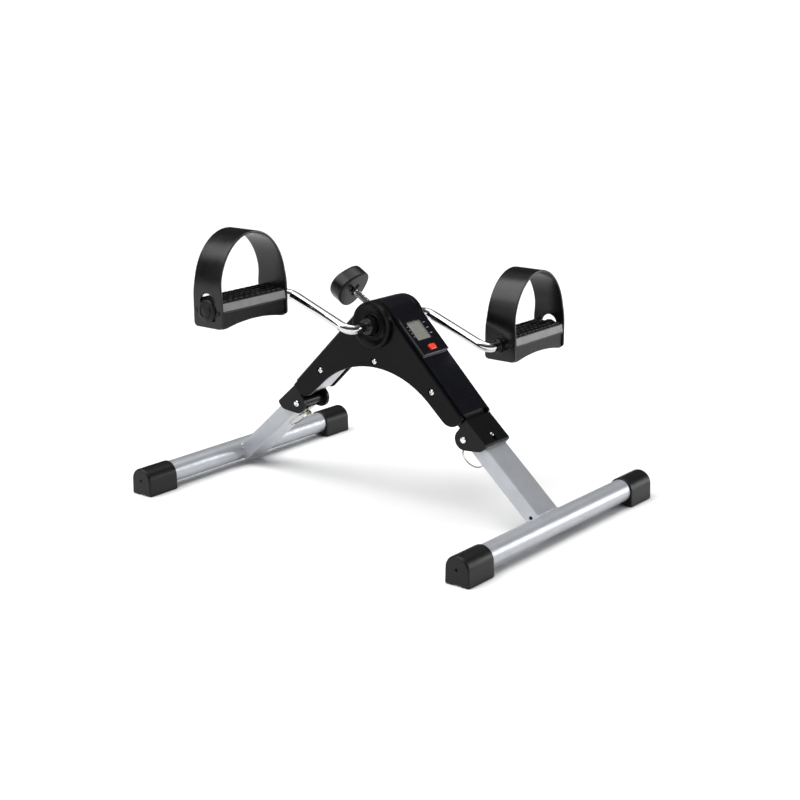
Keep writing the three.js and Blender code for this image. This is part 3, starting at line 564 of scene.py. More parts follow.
def arc(cx, cz, radius, start, end, steps):
    """Points on a circle, between two angles in degrees."""
    out = []
    for i in range(steps + 1):
        a = math.radians(start + (end - start) * i / steps)
        out.append((cx + radius * math.cos(a), cz + radius * math.sin(a)))
    return out


def on_slope(t, w):
    """The X and Z of a point t down the arch's right slope from the axle and w above it."""
    return ((t + w) / math.sqrt(2), AXLE_Z + (w - t) / math.sqrt(2))


def mirrored(half):
    return half + [(-x, z) for x, z in half if x > 1e-6][::-1]


def lerp(a, b, t):
    return a + (b - a) * t


def spread(a, b, steps):
    """Evenly spaced values from a to b."""
    return [lerp(a, b, k / steps) for k in range(steps + 1)]


def smooth(t):
    t = max(0.0, min(1.0, t))
    return t * t * (3 - 2 * t)


# ---- side covers ----
COVER_Y = (24.3, 29)
COVER_EDGE = 1.3
COVER_TOP = 26.5
COVER_END = 163.4
COVER_CORNER = 3
NEAR_BELLY = {"arc_z": 45, "arc_radius": 126.5, "tangent": 42, "end_round": 17}
FAR_BELLY = {"arc_z": 61.8, "arc_radius": 120.2, "tangent": 44.4, "end_round": 10}
COVER_SCREWS = {
    "near": ((-88, 154.5), (0, 179), (88, 154.5)),
    "far": ((-88, 154.5), (0, 190), (88, 154.5)),
}
SCREW_SEAT = 26.6
COUNTERSINK = [(0, SCREW_SEAT), (4.6, SCREW_SEAT), (4.9, 29.3), (5.6, 30.5), (0, 30.5)]
SCREW = [(0, 17.8), (2, 17.8), (2, 26.9), (3.6, 26.9), (3.9, 27.3), (3.8, 27.9), (3.2, 28.6),
         (1.8, 29.05), (0, 29.15)]
SCREW_SLOT = {"floor": 28.1, "top": 30, "half_length": 2.1, "half_width": 0.45}
BOSS = [
    (9, 24.6), (28.6, 24.6), (29, 26), (29, 32.6), (28.4, 34.3), (27, 35), (25.2, 35), (24.2, 34.4),
    (22.6, 32.9), (19.6, 31.5), (16.6, 31.1), (15.4, 31.4), (15, 32.4), (14.4, 33), (13.4, 33),
    (12.8, 32.2), (12.2, 30.8), (9, 30.6),
]


def cover_outline(arc_z, arc_radius, tangent, end_round):
    """A round belly, straight flanks that leave it at the tangent angle, round ends and the top slopes."""
    lower = arc(0, arc_z, arc_radius, 90, 90 - tangent, 40)
    out = Vector((math.sin(math.radians(tangent)), math.cos(math.radians(tangent))))
    reach = Vector(lower[-1]).dot(out) + end_round
    t_centre = COVER_END - end_round
    along = Vector((out.x - out.y, out.x + out.y)) / math.sqrt(2)
    w_centre = (reach - AXLE_Z * out.y - t_centre * along.x) / along.y
    half = lower + arc(*on_slope(t_centre, w_centre), end_round, -90 - tangent, -45, 16)
    corner = on_slope(COVER_END - COVER_CORNER, COVER_TOP - COVER_CORNER)
    half += arc(*corner, COVER_CORNER, -45, 45, 5)
    half.append(on_slope(0, COVER_TOP))
    half += arc(0, AXLE_Z, COVER_TOP, 45, 90, 16)[1:]
    return mirrored(half)


def side_cover(outline, direction, screws):
    """A plate with rounded edges and countersunk screw holes, and the turned boss round the axle."""
    y0, y1 = sorted(direction * y for y in COVER_Y)
    plate = slab(outline, y0, y1, COVER_EDGE)
    cutters = [moved(lathe_y(COUNTERSINK, direction, 40), move(x, 0, z)) for x, z in screws]
    boss = moved(lathe_y(BOSS, direction, 128, closed=True), AXLE)
    return merge(cut(plate, *cutters), boss)


def screw(direction):
    """A screw with a domed, cross-slotted head."""
    ends = sorted((direction * SCREW_SLOT["floor"], direction * SCREW_SLOT["top"]))
    long = (-SCREW_SLOT["half_length"], SCREW_SLOT["half_length"])
    short = (-SCREW_SLOT["half_width"], SCREW_SLOT["half_width"])
    return cut(lathe_y(SCREW, direction, 32), block(long, ends, short), block(short, ends, long))


for (way, direction), belly in zip(WAYS, (NEAR_BELLY, FAR_BELLY)):
    cover = side_cover(cover_outline(**belly), direction, COVER_SCREWS[way])
    add_piece(f"{way}_cover_shell", cover, WORLD, "satin_cover", "frame", [f"{way}_cover"], sharp=30)

for way, direction in WAYS:
    for i, (x, z) in enumerate(COVER_SCREWS[way]):
        place = move(x, 0, z) @ turn_y(0.5 + 0.9 * i)
        add_piece(f"{way}_cover_screw_head_{i + 1}", screw(direction), place, "screw_steel", "frame",
                  [f"{way}_cover_screw_{i + 1}"])

# ---- top cover and monitor: t runs down the slope, y across it and w out of it ----
LCD_T, LCD_Y, LCD_W = (26, 51), (-16, 7.5), (30.7, 31.3)
SEGMENT_W = (31.3, 31.34)
GLASS_W = (31.9, 33.0)
GLASS_LAP = 0.7
MARK_W = (33.2, 33.26)
MARK_HALF = 0.25
MARKS = (((-20.6, -18.4), (31, 36, 41, 46)), ((10.4, 14.6), (30, 38, 46)))
DIGITS, DIGIT_START, DIGIT_PITCH, DIGIT_WIDTH = 4, -13.5, 4.9, 3.4
STROKE_HALF = 0.35
KEY_T, KEY_Y = (60.7, 68.1), (-7.7, 3.7)
KEY_LAYERS = ((32.5, 0.0), (34.2, 0.0), (34.7, 0.25), (34.95, 0.7), (35, 1.3))


def stroke(middle, half):
    return (middle - half, middle + half)


def display_marks():
    """Plain printed ticks on both sides of the display."""
    parts = []
    for y, places in MARKS:
        parts += [block(stroke(t, MARK_HALF), y, MARK_W) for t in places]
    return merge(*parts)


def lcd_face():
    return block((LCD_T[0] + 0.3, LCD_T[1] - 0.3), (LCD_Y[0] + 0.3, LCD_Y[1] - 0.3), LCD_W, 0.2)


def lcd_window():
    t = (LCD_T[0] - GLASS_LAP, LCD_T[1] + GLASS_LAP)
    y = (LCD_Y[0] - GLASS_LAP, LCD_Y[1] + GLASS_LAP)
    return block(t, y, GLASS_W, 0.2)


def lcd_segments():
    """Unlit seven-segment digits, just darker than the display."""
    parts = []
    for k in range(DIGITS):
        y0 = DIGIT_START + k * DIGIT_PITCH
        for t in (33, 38.5, 44):
            parts.append(block(stroke(t, STROKE_HALF), (y0 + 0.5, y0 + 2.9), SEGMENT_W))
        for y in (y0, y0 + DIGIT_WIDTH):
            for t in (33.6, 39.1):
                parts.append(block((t, t + 4.3), stroke(y, STROKE_HALF), SEGMENT_W))
    return merge(*parts)


def reset_key():
    outline = rounded(rectangle(*KEY_T, *KEY_Y), 2.4, 5)
    rings = []
    for w, shrink in KEY_LAYERS:
        rings.append([(t, y, w) for t, y in inset(outline, shrink)])
    return loft(rings)


add_piece("top_cover_shell", from_solid("top_cover", 0.9), WORLD, "gloss_cover", "frame",
          ["top_cover"], sharp=25)
add_piece("monitor_case_shell", from_solid("monitor_case", 0.7, shortest=3), WORLD, "gloss_cover",
          "frame", ["monitor_case"], sharp=30)
add_piece("lcd_face", lcd_face(), MONITOR, "lcd", "frame", ["lcd_panel"])
add_piece("lcd_unlit_segments", lcd_segments(), MONITOR, "lcd_segment", "frame", slot="lcd")
add_piece("display_marks", display_marks(), MONITOR, "printed_mark", "frame", slot="gloss_cover")
add_piece("lcd_window", lcd_window(), MONITOR, "lens", "frame", ["lcd_lens"])
add_piece("reset_key", reset_key(), MONITOR, "red_key", "reset_key", ["reset_button"])

# ---- hinges, legs and feet ----
LEG_SPAN = (12, 138)
LEG_HALF = 20
LEG_RISE = (-5, 15)
LEG_CORNER, LEG_INNER_CORNER = 1.7, 0.6
bar_in_leg = turn_y(-LEG_SLOPE) @ (Vector(BAR) - Vector(PIVOT))
LEG_X, LEG_W = bar_in_leg.x, bar_in_leg.z
DRAIN = (122.5, 4.3)
BEAD_STEP, BEAD_RADIUS, BEAD_CORNER = 0.9, 1.5, 2.6
CAP_HALF, CAP_RISE = 16, 15.8
CAP_EDGE = 2.6
CAP_SOLE = [(-16.3, -13), (-16.5, -17), (-16, -18.5), (-14.6, -19), (-7.2, -19), (-6, -18.4),
            (-5.2, -17.8), (0, -17.7)]
DIMPLE = [(0, 190.4), (1.4, 190.4), (2.1, 192.7), (0, 192.7)]
HINGE_PIN = [
    (0, -26.3), (2.6, -26.2), (3.6, -25.8), (4, -25.2), (4, -24.3), (3.2, -24.2), (3.2, 24.2),
    (4, 24.3), (4, 25.2), (3.6, 25.8), (2.6, 26.2), (0, 26.3),
]
LOCK_RADIUS = 3
LOCK_GUIDE = [(3.2, -9), (5, -9), (5.9, -8.5), (6.4, -7.6), (6.4, -5.3), (3.2, -5.3)]
LOCK_PIN = [
    (0, -16.4), (1.6, -16.2), (LOCK_RADIUS, -15.4), (3.9, -14.2), (4, -12.6), (3.6, -11),
    (LOCK_RADIUS, -10), (LOCK_RADIUS, 10.6), (5.2, 10.6), (5.2, 12.2), (LOCK_RADIUS, 12.2),
    (LOCK_RADIUS, 19.6), (2.6, 20.8), (1.6, 21.6), (0, 21.8),
]
RING_WIRE, RING_TURNS, RING_PITCH = 0.6, 1.9, 1.2
RING_LEAN = math.radians(-63)
RING_START = 0.9
SPRING_WIRE, SPRING_RADIUS, SPRING_TURNS = 0.5, 4.5, 6
SPRING_SPAN = (-2.1, 9.2)


def leg_section(shrink, corner):
    sides = rectangle(-LEG_HALF + shrink, LEG_HALF - shrink, LEG_RISE[0] + shrink, LEG_RISE[1] - shrink)
    return rounded(sides, corner, 5)


def leg_piece():
    """A box tube, open at both ends, with the bar's seat, a drain hole and the lock pin's hole."""
    outer, inner = leg_section(0, LEG_CORNER), leg_section(TUBE_WALL, LEG_INNER_CORNER)
    rings = []
    for section, end in ((outer, 0), (outer, 1), (inner, 1), (inner, 0)):
        rings.append([(LEG_SPAN[end], y, z) for y, z in section])
    seat = moved(lathe_y(rod(BAR_RADIUS + 0.05, -30, 30), 1, 96), move(LEG_X, 0, LEG_W))
    drain = moved(lathe_y(rod(2.5, -30, -10), 1, 32), move(DRAIN[0], 0, DRAIN[1]))
    lock = moved(lathe(rod(LOCK_RADIUS + 0.2, -10, 22), 32), LOCK_AXIS)
    return cut(loft(rings, closed_path=True), seat, drain, lock)


def weld_bead():
    """A rippled bead round the joint of the leg's box tube and the round bar."""
    section = leg_section(0, BEAD_CORNER)
    points = []
    for (y0, w0), (y1, w1) in zip(section, section[1:] + section[:1]):
        steps = max(1, int(math.hypot(y1 - y0, w1 - w0) / BEAD_STEP))
        for k in range(steps):
            y, w = lerp(y0, y1, k / steps), lerp(w0, w1, k / steps)
            x = LEG_X - math.sqrt(max(0, BAR_RADIUS**2 - (w - LEG_W) ** 2))
            if x <= LEG_SPAN[1] - 0.5:
                points.append(Vector((x - 0.3, y * 1.01, w)))
    bm = bmesh.new()
    for i, p in enumerate(points):
        radius = BEAD_RADIUS + 0.28 * math.sin(i * 1.1) + 0.25 * noise.noise(p * 0.4)
        bmesh.ops.create_icosphere(bm, subdivisions=2, radius=radius, matrix=Matrix.Translation(p))
    return bm


def foot_bar_piece():
    outer, inner = BAR_RADIUS, BAR_RADIUS - TUBE_WALL
    profile = [
        (outer - 0.5, -BAR_HALF), (outer, -BAR_HALF + 0.5), (outer, BAR_HALF - 0.5),
        (outer - 0.5, BAR_HALF), (inner, BAR_HALF), (inner, -BAR_HALF),
    ]
    return lathe_y(profile, 1, 96, closed=True)


def end_cap_ring(scale):
    """One ring of the cap: a round top on straight flanks over a flat sole with a shallow groove."""
    ring = []
    for i in range(33):
        a = math.pi * i / 32
        ring.append((CAP_HALF * scale * math.cos(a), CAP_RISE * scale * math.sin(a)))
    sole = CAP_SOLE + [(-x, z) for x, z in reversed(CAP_SOLE[:-1])]
    return ring + [(x * scale, z * scale) for x, z in sole]


def end_cap_piece(direction):
    """A cap with a drawn-in lip, a rounded outer end with a dimple, and a seat for the bar."""
    inner, outer = CAP_SPAN
    stations = [(inner, 0.955), (inner + 0.5, 0.985)]
    stations += [(y, 1.0) for y in spread(inner + 1.3, outer - CAP_EDGE, 8)]
    for k in range(1, 7):
        a = 0.5 * math.pi * k / 6
        stations.append((outer - CAP_EDGE + CAP_EDGE * math.sin(a), 1.0 - 0.13 * (1 - math.cos(a))))
    rings = []
    for y, scale in stations:
        rings.append([(x, direction * y, z) for x, z in end_cap_ring(scale)])
    seat = lathe_y(rod(BAR_RADIUS + 0.05, 140, 147), direction, 72)
    return cut(loft(rings), lathe_y(DIMPLE, direction, 32), seat)


def ring_points(lean):
    """The wire of a split ring, wound nearly twice, square to the pin and through its eye."""
    cx, cy = EYE[0] + RING_RADIUS * math.cos(lean), RING_RADIUS * math.sin(lean)
    steps = 56
    points = []
    for i in range(int(RING_TURNS * steps) + 1):
        a = 2 * math.pi * i / steps + lean + math.pi + RING_START
        lift = (i / steps / RING_TURNS - 0.5) * RING_PITCH
        points.append((cx + RING_RADIUS * math.cos(a), cy + RING_RADIUS * math.sin(a), EYE[2] + lift))
    return points


def spring_points():
    steps = 20
    points = []
    for i in range(SPRING_TURNS * steps + 1):
        a = 2 * math.pi * i / steps
        x, y = EYE[0] + SPRING_RADIUS * math.cos(a), SPRING_RADIUS * math.sin(a)
        points.append((x, y, lerp(*SPRING_SPAN, i / (SPRING_TURNS * steps))))
    return points


for side, turn in SIDES:
    LEG, FOOT = leg_frame_of(turn), foot_frame_of(turn)
    leg = f"{side}_leg"
    add_piece(f"{side}_hinge_cover", from_solid(f"{side}_hinge_bracket", 1.3, shortest=5), WORLD,
              "hinge_black", "frame", [f"{side}_hinge_bracket"], sharp=28)
    add_piece(f"{side}_hinge_rivet", lathe_y(HINGE_PIN, 1, 40), LEG, "screw_steel", "frame",
              [f"{side}_hinge_pin"])
    add_piece(f"{side}_leg_box_tube", leg_piece(), LEG, "silver_paint", leg, [f"{side}_leg_tube"],
              sharp=35)
    add_piece(f"{side}_leg_weld", weld_bead(), LEG, "silver_weld", leg, slot="silver_paint", sharp=80)
    add_piece(f"{side}_floor_bar", foot_bar_piece(), FOOT, "silver_paint", leg, [f"{side}_foot_bar"])
    for way, direction in WAYS:
        local = direction if turn == 0 else -direction
        add_piece(f"{side}_{way}_rubber_foot", end_cap_piece(local), FOOT, "cap_black", leg,
                  [f"{side}_{way}_end_cap"], sharp=40)
    add_piece(f"{side}_guide_nut", moved(lathe(LOCK_GUIDE, 48, closed=True), LOCK_AXIS), LEG, "zinc",
              leg, [f"{side}_lock_guide"])
    add_piece(f"{side}_lock_plunger", moved(lathe(LOCK_PIN, 40), LOCK_AXIS), LEG, "zinc",
              f"{side}_lock", [f"{side}_lock_pin"])
    lean = RING_LEAN if turn == 0 else -RING_LEAN
    add_piece(f"{side}_split_ring", tube(ring_points(lean), RING_WIRE, 12), LEG, "zinc",
              f"{side}_ring", [f"{side}_pull_ring"])
    spring = add_piece(f"{side}_coil_spring", tube(spring_points(), SPRING_WIRE, 10), LEG,
                       "dark_steel", leg, [f"{side}_lock_spring"])
    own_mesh(spring)

# ---- crank ----
ROD_BEND = 15
ROD_CORNERS = ((0, 0.3), (0, ARM_Y), (CRANK_RADIUS, ARM_Y), (CRANK_RADIUS, 198))
HUB_CONE = [(6.1, 33.4), (11.2, 33.4), (11.4, 34.2), (11.2, 36), (10.3, 42.4), (9.7, 43.3), (8.8, 43.5),
            (6.1, 43.5)]
SPINDLE_NUT = [(6.1, 93), (8.2, 93), (8.6, 93.5), (8.6, 98.1), (8.2, 98.6), (6.1, 98.6)]


def crank_path(direction):
    """The rod's middle line: out along the axle, along the arm and out again, with round bends."""
    start, inner, outer, end = (Vector(p) for p in ROD_CORNERS)
    points = [start]
    for before, corner, after in ((start, inner, outer), (inner, outer, end)):
        first = corner + (before - corner).normalized() * ROD_BEND
        last = corner + (after - corner).normalized() * ROD_BEND
        points += [curve_at(first, corner, last, k / 12) for k in range(13)]
    points.append(end)
    return [(direction * p.x, direction * p.y, 0) for p in points]


for way, direction in WAYS:
    spindle = CRANK @ move(direction * CRANK_RADIUS, 0, 0)
    add_piece(f"{way}_crank_bar", tube(crank_path(direction), ROD_RADIUS, 40), CRANK, "chrome_rod",
              "crank", [f"{way}_crank_rod"], sharp=60)
    add_piece(f"{way}_hub_cone", lathe_y(HUB_CONE, direction, 64, closed=True), CRANK, "hub_black",
              "crank", [f"{way}_hub_spacer"])
    add_piece(f"{way}_spindle_nut", lathe_y(SPINDLE_NUT, direction, 48, closed=True), spindle,
              "hub_black", "crank", [f"{way}_spindle_collar"])

# ---- pedals ----
BODY_SPAN = (PEDAL_SPAN[0] + STRAP_THICK + 0.3, PEDAL_SPAN[1] - STRAP_THICK - 0.3)
BODY_WALL = 2.6
BODY_STEPS = 40
BODY_FLANK = [(21.2, -1.7), (22.9, -0.9), (22.7, 1)]
BODY_SHOULDER = [(21.6, 9.8), (21.0, 11.0), (20.0, 11.4)]
BAND_FACE = len(BODY_FLANK)
BELLY = 5
TREAD_BASE = 10.8
SLEEVE_RADII = (6.3, 9.4)
STRAP_WIDTHS = (23, 21)
STRAP_FOOT_ROUND = 5
STRAP_SPRING = 22
STRAP_HEIGHTS = (-20, -19.7, -19.2, -18.4, -17.4, -16.3, -15, -12, -8, -4, 0, 5, 10, 15, 19)
WINDOW_HALF, WINDOW_SILL, WINDOW_SPRING = 12, -12, 9
STRAP_PEG = [(0, -3.6), (2.6, -3.6), (2.6, -0.4), (3.3, -0.4), (3.3, 0.2), (2.9, 0.9), (1.8, 1.3), (0, 1.4)]
SPINDLE_BUTTON = [
    (0, -2.4), (11.5, -2.4), (11.5, 0.9), (13.3, 0.9), (13.4, 1.4), (12.8, 2.4), (11, 3.1), (9.4, 3.2),
    (8.6, 2.5), (7.2, 2.4), (6.6, 3.3), (4, 3.7), (0, 3.8),
]


def pedal_section(y, shrink):
    """The body's section at y, as a chain from one lower edge over the top to the other."""
    y0, y1 = BODY_SPAN
    half = (y1 - y0) / 2 - 6
    radius = (half * half + BELLY * BELLY) / (2 * BELLY)
    from_middle = abs(y - (y0 + y1) / 2)
    low = PEDAL_FLOOR
    if from_middle < half:
        low = max(low, PEDAL_FLOOR + BELLY - radius + math.sqrt(radius**2 - from_middle**2))
    chain = [(lerp(20.6, 21.2, (low - PEDAL_FLOOR) / 18.4) - shrink, low)]
    chain += [(x - shrink, z) for x, z in BODY_FLANK]
    chain += [(x - shrink, z - shrink) for x, z in BODY_SHOULDER]
    return chain + [(-x, z) for x, z in reversed(chain)]


def pedal_shell():
    """A hollow body, open below, whose lower edge arches up along its length; its bands are grey."""
    y0, y1 = BODY_SPAN
    bm = bmesh.new()
    stations = [(y0, 0.6)] + [(y, 0) for y in spread(y0 + 0.7, y1 - 0.7, BODY_STEPS)] + [(y1, 0.6)]
    outer = [[bm.verts.new((x, y, z)) for x, z in pedal_section(y, shrink)] for y, shrink in stations]
    inner = []
    for y in spread(y0 + BODY_WALL, y1 - BODY_WALL, BODY_STEPS):
        inner.append([bm.verts.new((x, y, z)) for x, z in pedal_section(y, BODY_WALL)])
    count = len(outer[0])
    bands = []
    for a, b in zip(outer, outer[1:]):
        for i in range(count - 1):
            face = bm.faces.new((a[i], a[i + 1], b[i + 1], b[i]))
            if i in (BAND_FACE, count - 2 - BAND_FACE):
                bands.append(face)
    for a, b in zip(inner, inner[1:]):
        for i in range(count - 1):
            bm.faces.new((b[i], b[i + 1], a[i + 1], a[i]))
    for wall in (outer, inner):
        bm.faces.new(wall[0])
        bm.faces.new(wall[-1][::-1])
    for k in range(BODY_STEPS):
        for i in (0, -1):
            bm.faces.new((outer[k + 1][i], outer[k + 2][i], inner[k + 1][i], inner[k][i]))
    for end, beside in ((0, 1), (-1, -2)):
        a, b, c = outer[end], outer[beside], inner[end]
        bm.faces.new((a[0], b[0], c[0], c[-1], b[-1], a[-1]))
    bmesh.ops.recalc_face_normals(bm, faces=bm.faces)
    for face in bands:
        face.material_index = 1
    return bm


def tread_ribs():
    """Rows of short raised ribs across the tread, and a low rim at each end."""
    y0, y1 = BODY_SPAN
    parts = []
    for x in spread(-17, 17, 4):
        for y in spread(y0 + 6.5, y1 - 6.5, 10):
            parts.append(block(stroke(x, 1.7), stroke(y, 3.7), (TREAD_BASE, PEDAL_TOP), 0.55))
    for ends in ((y0 + 0.3, y0 + 2), (y1 - 2, y1 - 0.3)):
        parts.append(block((-21, 21), ends, (TREAD_BASE, 12.2), 0.4))
    return merge(*parts)


def spindle_sleeve():
    """The spindle's sleeve under the tread, and the webs that hold it."""
    y0, y1 = BODY_SPAN
    bore, outside = SLEEVE_RADII
    profile = [(bore, y0 + 0.5), (outside, y0 + 0.5), (outside, y1 - 0.5), (bore, y1 - 0.5)]
    webs = []
    for y in spread(y0, y1, 5)[1:-1]:
        for x in ((-19, -8.6), (8.6, 19)):
            webs.append(block(x, stroke(y, 0.9), (-12, 9.5)))
    return merge(lathe_y(profile, 1, 40, closed=True), *webs)


def strap_half_width(z):
    """Wider at the pedal than above it, with rounded lower corners."""
    width = lerp(*STRAP_WIDTHS, smooth((z - 13) / 27))
    dz = min(STRAP_FOOT_ROUND, PEDAL_FLOOR + STRAP_FOOT_ROUND - z)
    if dz > 0:
        width -= STRAP_FOOT_ROUND - math.sqrt(STRAP_FOOT_ROUND**2 - dz * dz)
    return width


def strap_path():
    """Up one end, over in a half oval and down the other, in Y and Z from the pedal's middle."""
    half = (PEDAL_SPAN[1] - PEDAL_SPAN[0]) / 2 - STRAP_THICK / 2
    rise = STRAP_TOP - STRAP_SPRING - STRAP_THICK / 2
    upright = [(half, z) for z in STRAP_HEIGHTS]
    oval = []
    for i in range(73):
        a = math.pi * i / 72
        oval.append((half * math.cos(a), STRAP_SPRING + rise * math.sin(a)))
    return upright + oval + [(-y, z) for y, z in reversed(upright)]


def strap_section(width):
    """The band's flat section, its corners rounded and its long edges divided."""
    thick = STRAP_THICK / 2
    corners = rounded(rectangle(-width, width, -thick, thick), 0.95, 3)
    fine = []
    for (x0, n0), (x1, n1) in zip(corners, corners[1:] + corners[:1]):
        steps = 8 if abs(x1 - x0) > 5 else 1
        fine += [(lerp(x0, x1, k / steps), lerp(n0, n1, k / steps)) for k in range(steps)]
    return fine


def window_outline():
    """Upright sides under a round crown, anticlockwise."""
    crown = arc(0, WINDOW_SPRING, WINDOW_HALF, 0, 180, 24)
    return [(WINDOW_HALF, WINDOW_SILL)] + crown + [(-WINDOW_HALF, WINDOW_SILL)]


def strap_piece():
    """A moulded band with a window in its outer end and a round hole in its inner end."""
    middle = sum(PEDAL_SPAN) / 2
    path = strap_path()
    rings = []
    for i, (y, z) in enumerate(path):
        before, after = path[max(i - 1, 0)], path[min(i + 1, len(path) - 1)]
        along = Vector((after[0] - before[0], after[1] - before[1])).normalized()
        outward = Vector((along.y, -along.x))
        section = strap_section(strap_half_width(z))
        rings.append([(x, middle + y + outward.x * n, z + outward.y * n) for x, n in section])
    window = slab(window_outline(), PEDAL_SPAN[1] - 9, PEDAL_SPAN[1] + 6, 0.1, 1)
    hole = lathe_y(rod(SLEEVE_RADII[1], PEDAL_SPAN[0] - 6, PEDAL_SPAN[0] + 9), 1, 48)
    return cut(loft(rings), window, hole)


def window_lips():
    """A raised rim round the outer end's window."""
    path = [(x, PEDAL_SPAN[1] - 0.2, z) for x, z in rounded(window_outline(), 2, 3)]
    return tube(path, 0.75, 10, closed=True)


def pegs():
    parts = []
    for x in (-17, 17):
        for y, d in ((PEDAL_SPAN[0], -1), (PEDAL_SPAN[1], 1)):
            parts.append(moved(lathe_y(STRAP_PEG, d, 32), move(x, y, -1)))
    return merge(*parts)


def spindle_button():
    return lathe_y([(r, PEDAL_SPAN[1] + y) for r, y in SPINDLE_BUTTON], 1, 64)


for way, direction in WAYS:
    PEDAL = pedal_frame_of(direction)
    body = f"{way}_pedal"
    add_piece(f"{way}_pedal_shell", pedal_shell(), PEDAL, ["pedal_black", "pedal_band_grey"], body,
              [f"{way}_pedal_body"])
    add_piece(f"{way}_pedal_ribs", tread_ribs(), PEDAL, "pedal_black", body)
    add_piece(f"{way}_pedal_sleeve", spindle_sleeve(), PEDAL, "pedal_black", body)
    add_piece(f"{way}_strap_band", strap_piece(), PEDAL, "strap_black", body, [f"{way}_foot_strap"],
              sharp=40)
    add_piece(f"{way}_strap_lips", window_lips(), PEDAL, "strap_black", body, sharp=60)
    add_piece(f"{way}_strap_pegs", pegs(), PEDAL, "pedal_black", body)
    add_piece(f"{way}_spindle_button", spindle_button(), PEDAL, "pedal_black", body,
              [f"{way}_spindle_cap"])

# ---- tension knob and screw ----
KNOB_SPAN = (63.5, 82)
KNOB_LOBES, KNOB_RADIUS, LOBE_DEPTH = 3, 24.4, 1.9
KNOB_TURN = math.radians(39)
KNOB_BACK = ((18, 1.6), (17.2, 0.4), (16.4, 0), (2.2, 0), (1.2, 0.15), (0.4, 0.6), (0.05, 1.4), (0, 2.4))
KNOB_FACE = ((0, 4), (0.15, 2.6), (0.6, 1.4), (1.5, 0.5), (2.8, 0.1), (4.5, 0), (12, 0.2), (19, 0.5))
THREAD_SPAN = (19.5, 58)
THREAD_PITCH, GROOVE_OFFSET = 1.25, 0.62


def knob_ring(shrink, z):
    ring = []
    for i in range(120):
        a = 2 * math.pi * i / 120
        r = KNOB_RADIUS + LOBE_DEPTH * math.cos(KNOB_LOBES * a) - shrink
        ring.append((r * math.cos(a), r * math.sin(a), z))
    return ring


def knob_piece():
    """A three-lobed hand knob with a crowned face and a hollow back."""
    rings = [knob_ring(shrink, KNOB_SPAN[0] + lift) for shrink, lift in KNOB_BACK]
    rings += [knob_ring(shrink, KNOB_SPAN[1] - drop) for shrink, drop in KNOB_FACE]
    return moved(loft(rings), turn_z(KNOB_TURN))


def thread_piece():
    """The screw's shank, ringed with grooves where it enters the cover."""
    profile = [(0, 18.9), (3.6, 18.9)]
    z, end = THREAD_SPAN
    while z < end:
        profile += [(4, z), (3.5, z + GROOVE_OFFSET)]
        z += THREAD_PITCH
    profile += [(4, 59), (4, 74.5), (0, 74.5)]
    return lathe(profile, 32)


add_piece("tension_hand_grip", knob_piece(), TENSION, "knob_black", "tension_hand_knob",
          ["tension_knob"], sharp=50)
add_piece("tension_threaded_shank", thread_piece(), TENSION, "chrome_rod", "tension_hand_knob",
          ["tension_screw"], sharp=25)

# ---- finishes on the solids that stay ----
KEPT = {
    "silver_paint": ("arch_frame",),
    "nylon": ("near_axle_bush", "far_axle_bush", "friction_wheel"),
    "band_felt": ("friction_band",),
    "dark_steel": ("band_anchor_pin", "crank_hub_sleeve", "monitor_battery"),
    "shoe_pad": ("tension_shoe",),
    "board": ("monitor_board",),
    "hinge_black": ("right_pivot_barrel", "left_pivot_barrel"),
}
for finish_name, nodes in KEPT.items():
    for node in nodes:
        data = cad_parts[node].data
        data.materials.clear()
        data.materials.append(MATERIALS[finish_name])

# ---- floor, lights and surroundings ----
FLOOR_HALF = 150
SKY = ((0.0, 0.6), (0.49, 0.6), (0.51, 0.06), (0.82, 0.08), (0.9, 0.55), (1.0, 1.6))
SKY_STRENGTH = 0.8
BACKDROP = (1.25, 1.25, 1.25)


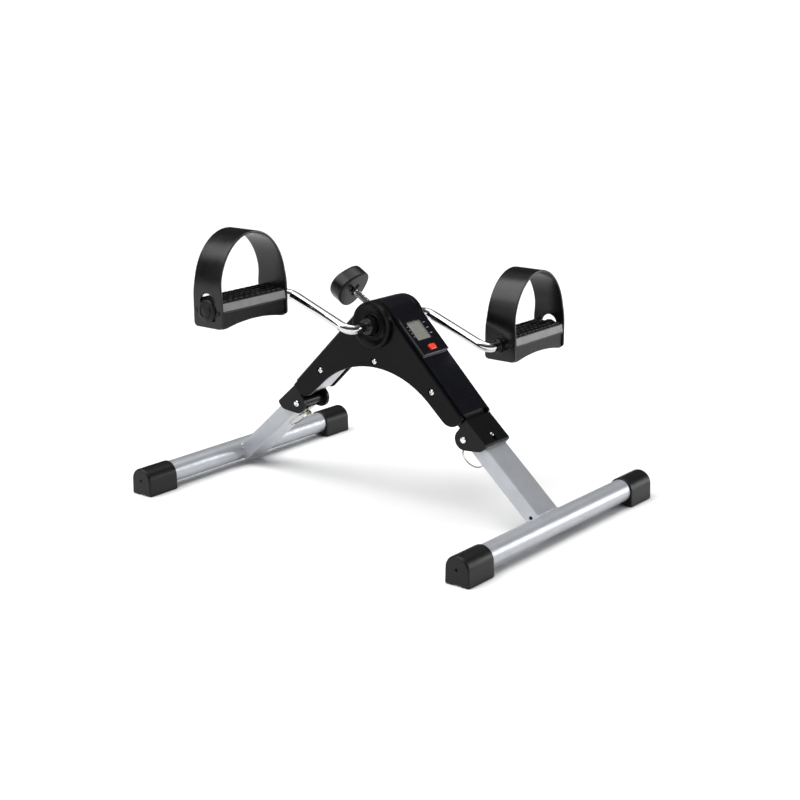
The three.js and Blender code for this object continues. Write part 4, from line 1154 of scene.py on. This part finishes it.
def add_floor():
    mesh = bpy.data.meshes.new("floor")
    bm = bmesh.new()
    bmesh.ops.create_grid(bm, x_segments=1, y_segments=1, size=FLOOR_HALF)
    bm.to_mesh(mesh)
    bm.free()
    mesh.materials.append(finish("floor", (0.93, 0.93, 0.93), 0.75, vary=0.01, vary_scale=2,
                                 grain=0.0, specular=0.2))
    obj = bpy.data.objects.new("floor", mesh)
    scene.collection.objects.link(obj)
    obj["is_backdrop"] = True


def add_surroundings():
    """Light from below and above and a dark belt between, with a white backdrop for the camera only."""
    world = bpy.data.worlds.new("studio")
    world.use_nodes = True
    scene.world = world
    tree = world.node_tree
    background = tree.nodes["Background"]
    coords = tree.nodes.new("ShaderNodeTexCoord").outputs["Generated"]
    split = tree.nodes.new("ShaderNodeSeparateXYZ")
    tree.links.new(coords, split.inputs[0])
    ramp = tree.nodes.new("ShaderNodeValToRGB")
    levels = ramp.color_ramp.elements
    for position, _ in SKY[1:-1]:
        levels.new(position)
    for element, (_, level) in zip(levels, SKY):
        element.color = (level, level, level, 1)
    height = remap(tree, split.outputs["Z"], -1, 1, 0, 1)
    tree.links.new(height, ramp.inputs["Fac"])
    seen = tree.nodes.new("ShaderNodeLightPath").outputs["Is Camera Ray"]
    shown = blend_colour(tree, seen, ramp.outputs["Color"], BACKDROP)
    tree.links.new(shown, background.inputs["Color"])
    background.inputs["Strength"].default_value = SKY_STRENGTH


def add_light(name, at, aim, size, power, height=None):
    """A rectangular lamp, square unless its height is given."""
    data = bpy.data.lights.new(name, "AREA")
    data.energy = power
    data.shape = "RECTANGLE"
    data.size = size
    data.size_y = height or size
    obj = bpy.data.objects.new(name, data)
    scene.collection.objects.link(obj)
    direction = Vector(aim) - Vector(at)
    obj.location = at
    obj.rotation_euler = direction.to_track_quat("-Z", "Y").to_euler()


def add_sun(name, toward, strength, width):
    data = bpy.data.lights.new(name, "SUN")
    data.energy = strength
    data.angle = math.radians(width)
    obj = bpy.data.objects.new(name, data)
    scene.collection.objects.link(obj)
    obj.rotation_euler = Vector(toward).to_track_quat("Z", "Y").to_euler()


add_floor()
add_surroundings()
add_sun("overhead", (-0.3, -0.42, 0.86), 2.9, 60)
add_light("edge_strip", (1.9, 2.25, 0.5), (0.1, 0, 0.1), 0.5, 26, 1.2)
add_light("top_back", (0.35, 0.9, 2.4), (0.1, 0, 0.1), 1.0, 12)
add_light("front_fill", (-0.9, -2.0, 0.9), (0, 0, 0.12), 1.0, 7)

scene.view_settings.view_transform = "Standard"
scene.view_settings.look = "None"

boxes = {"cad": cad_bounds, "visual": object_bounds()}
{k: [[float(c) for c in corner] for corner in v] for k, v in boxes.items()}
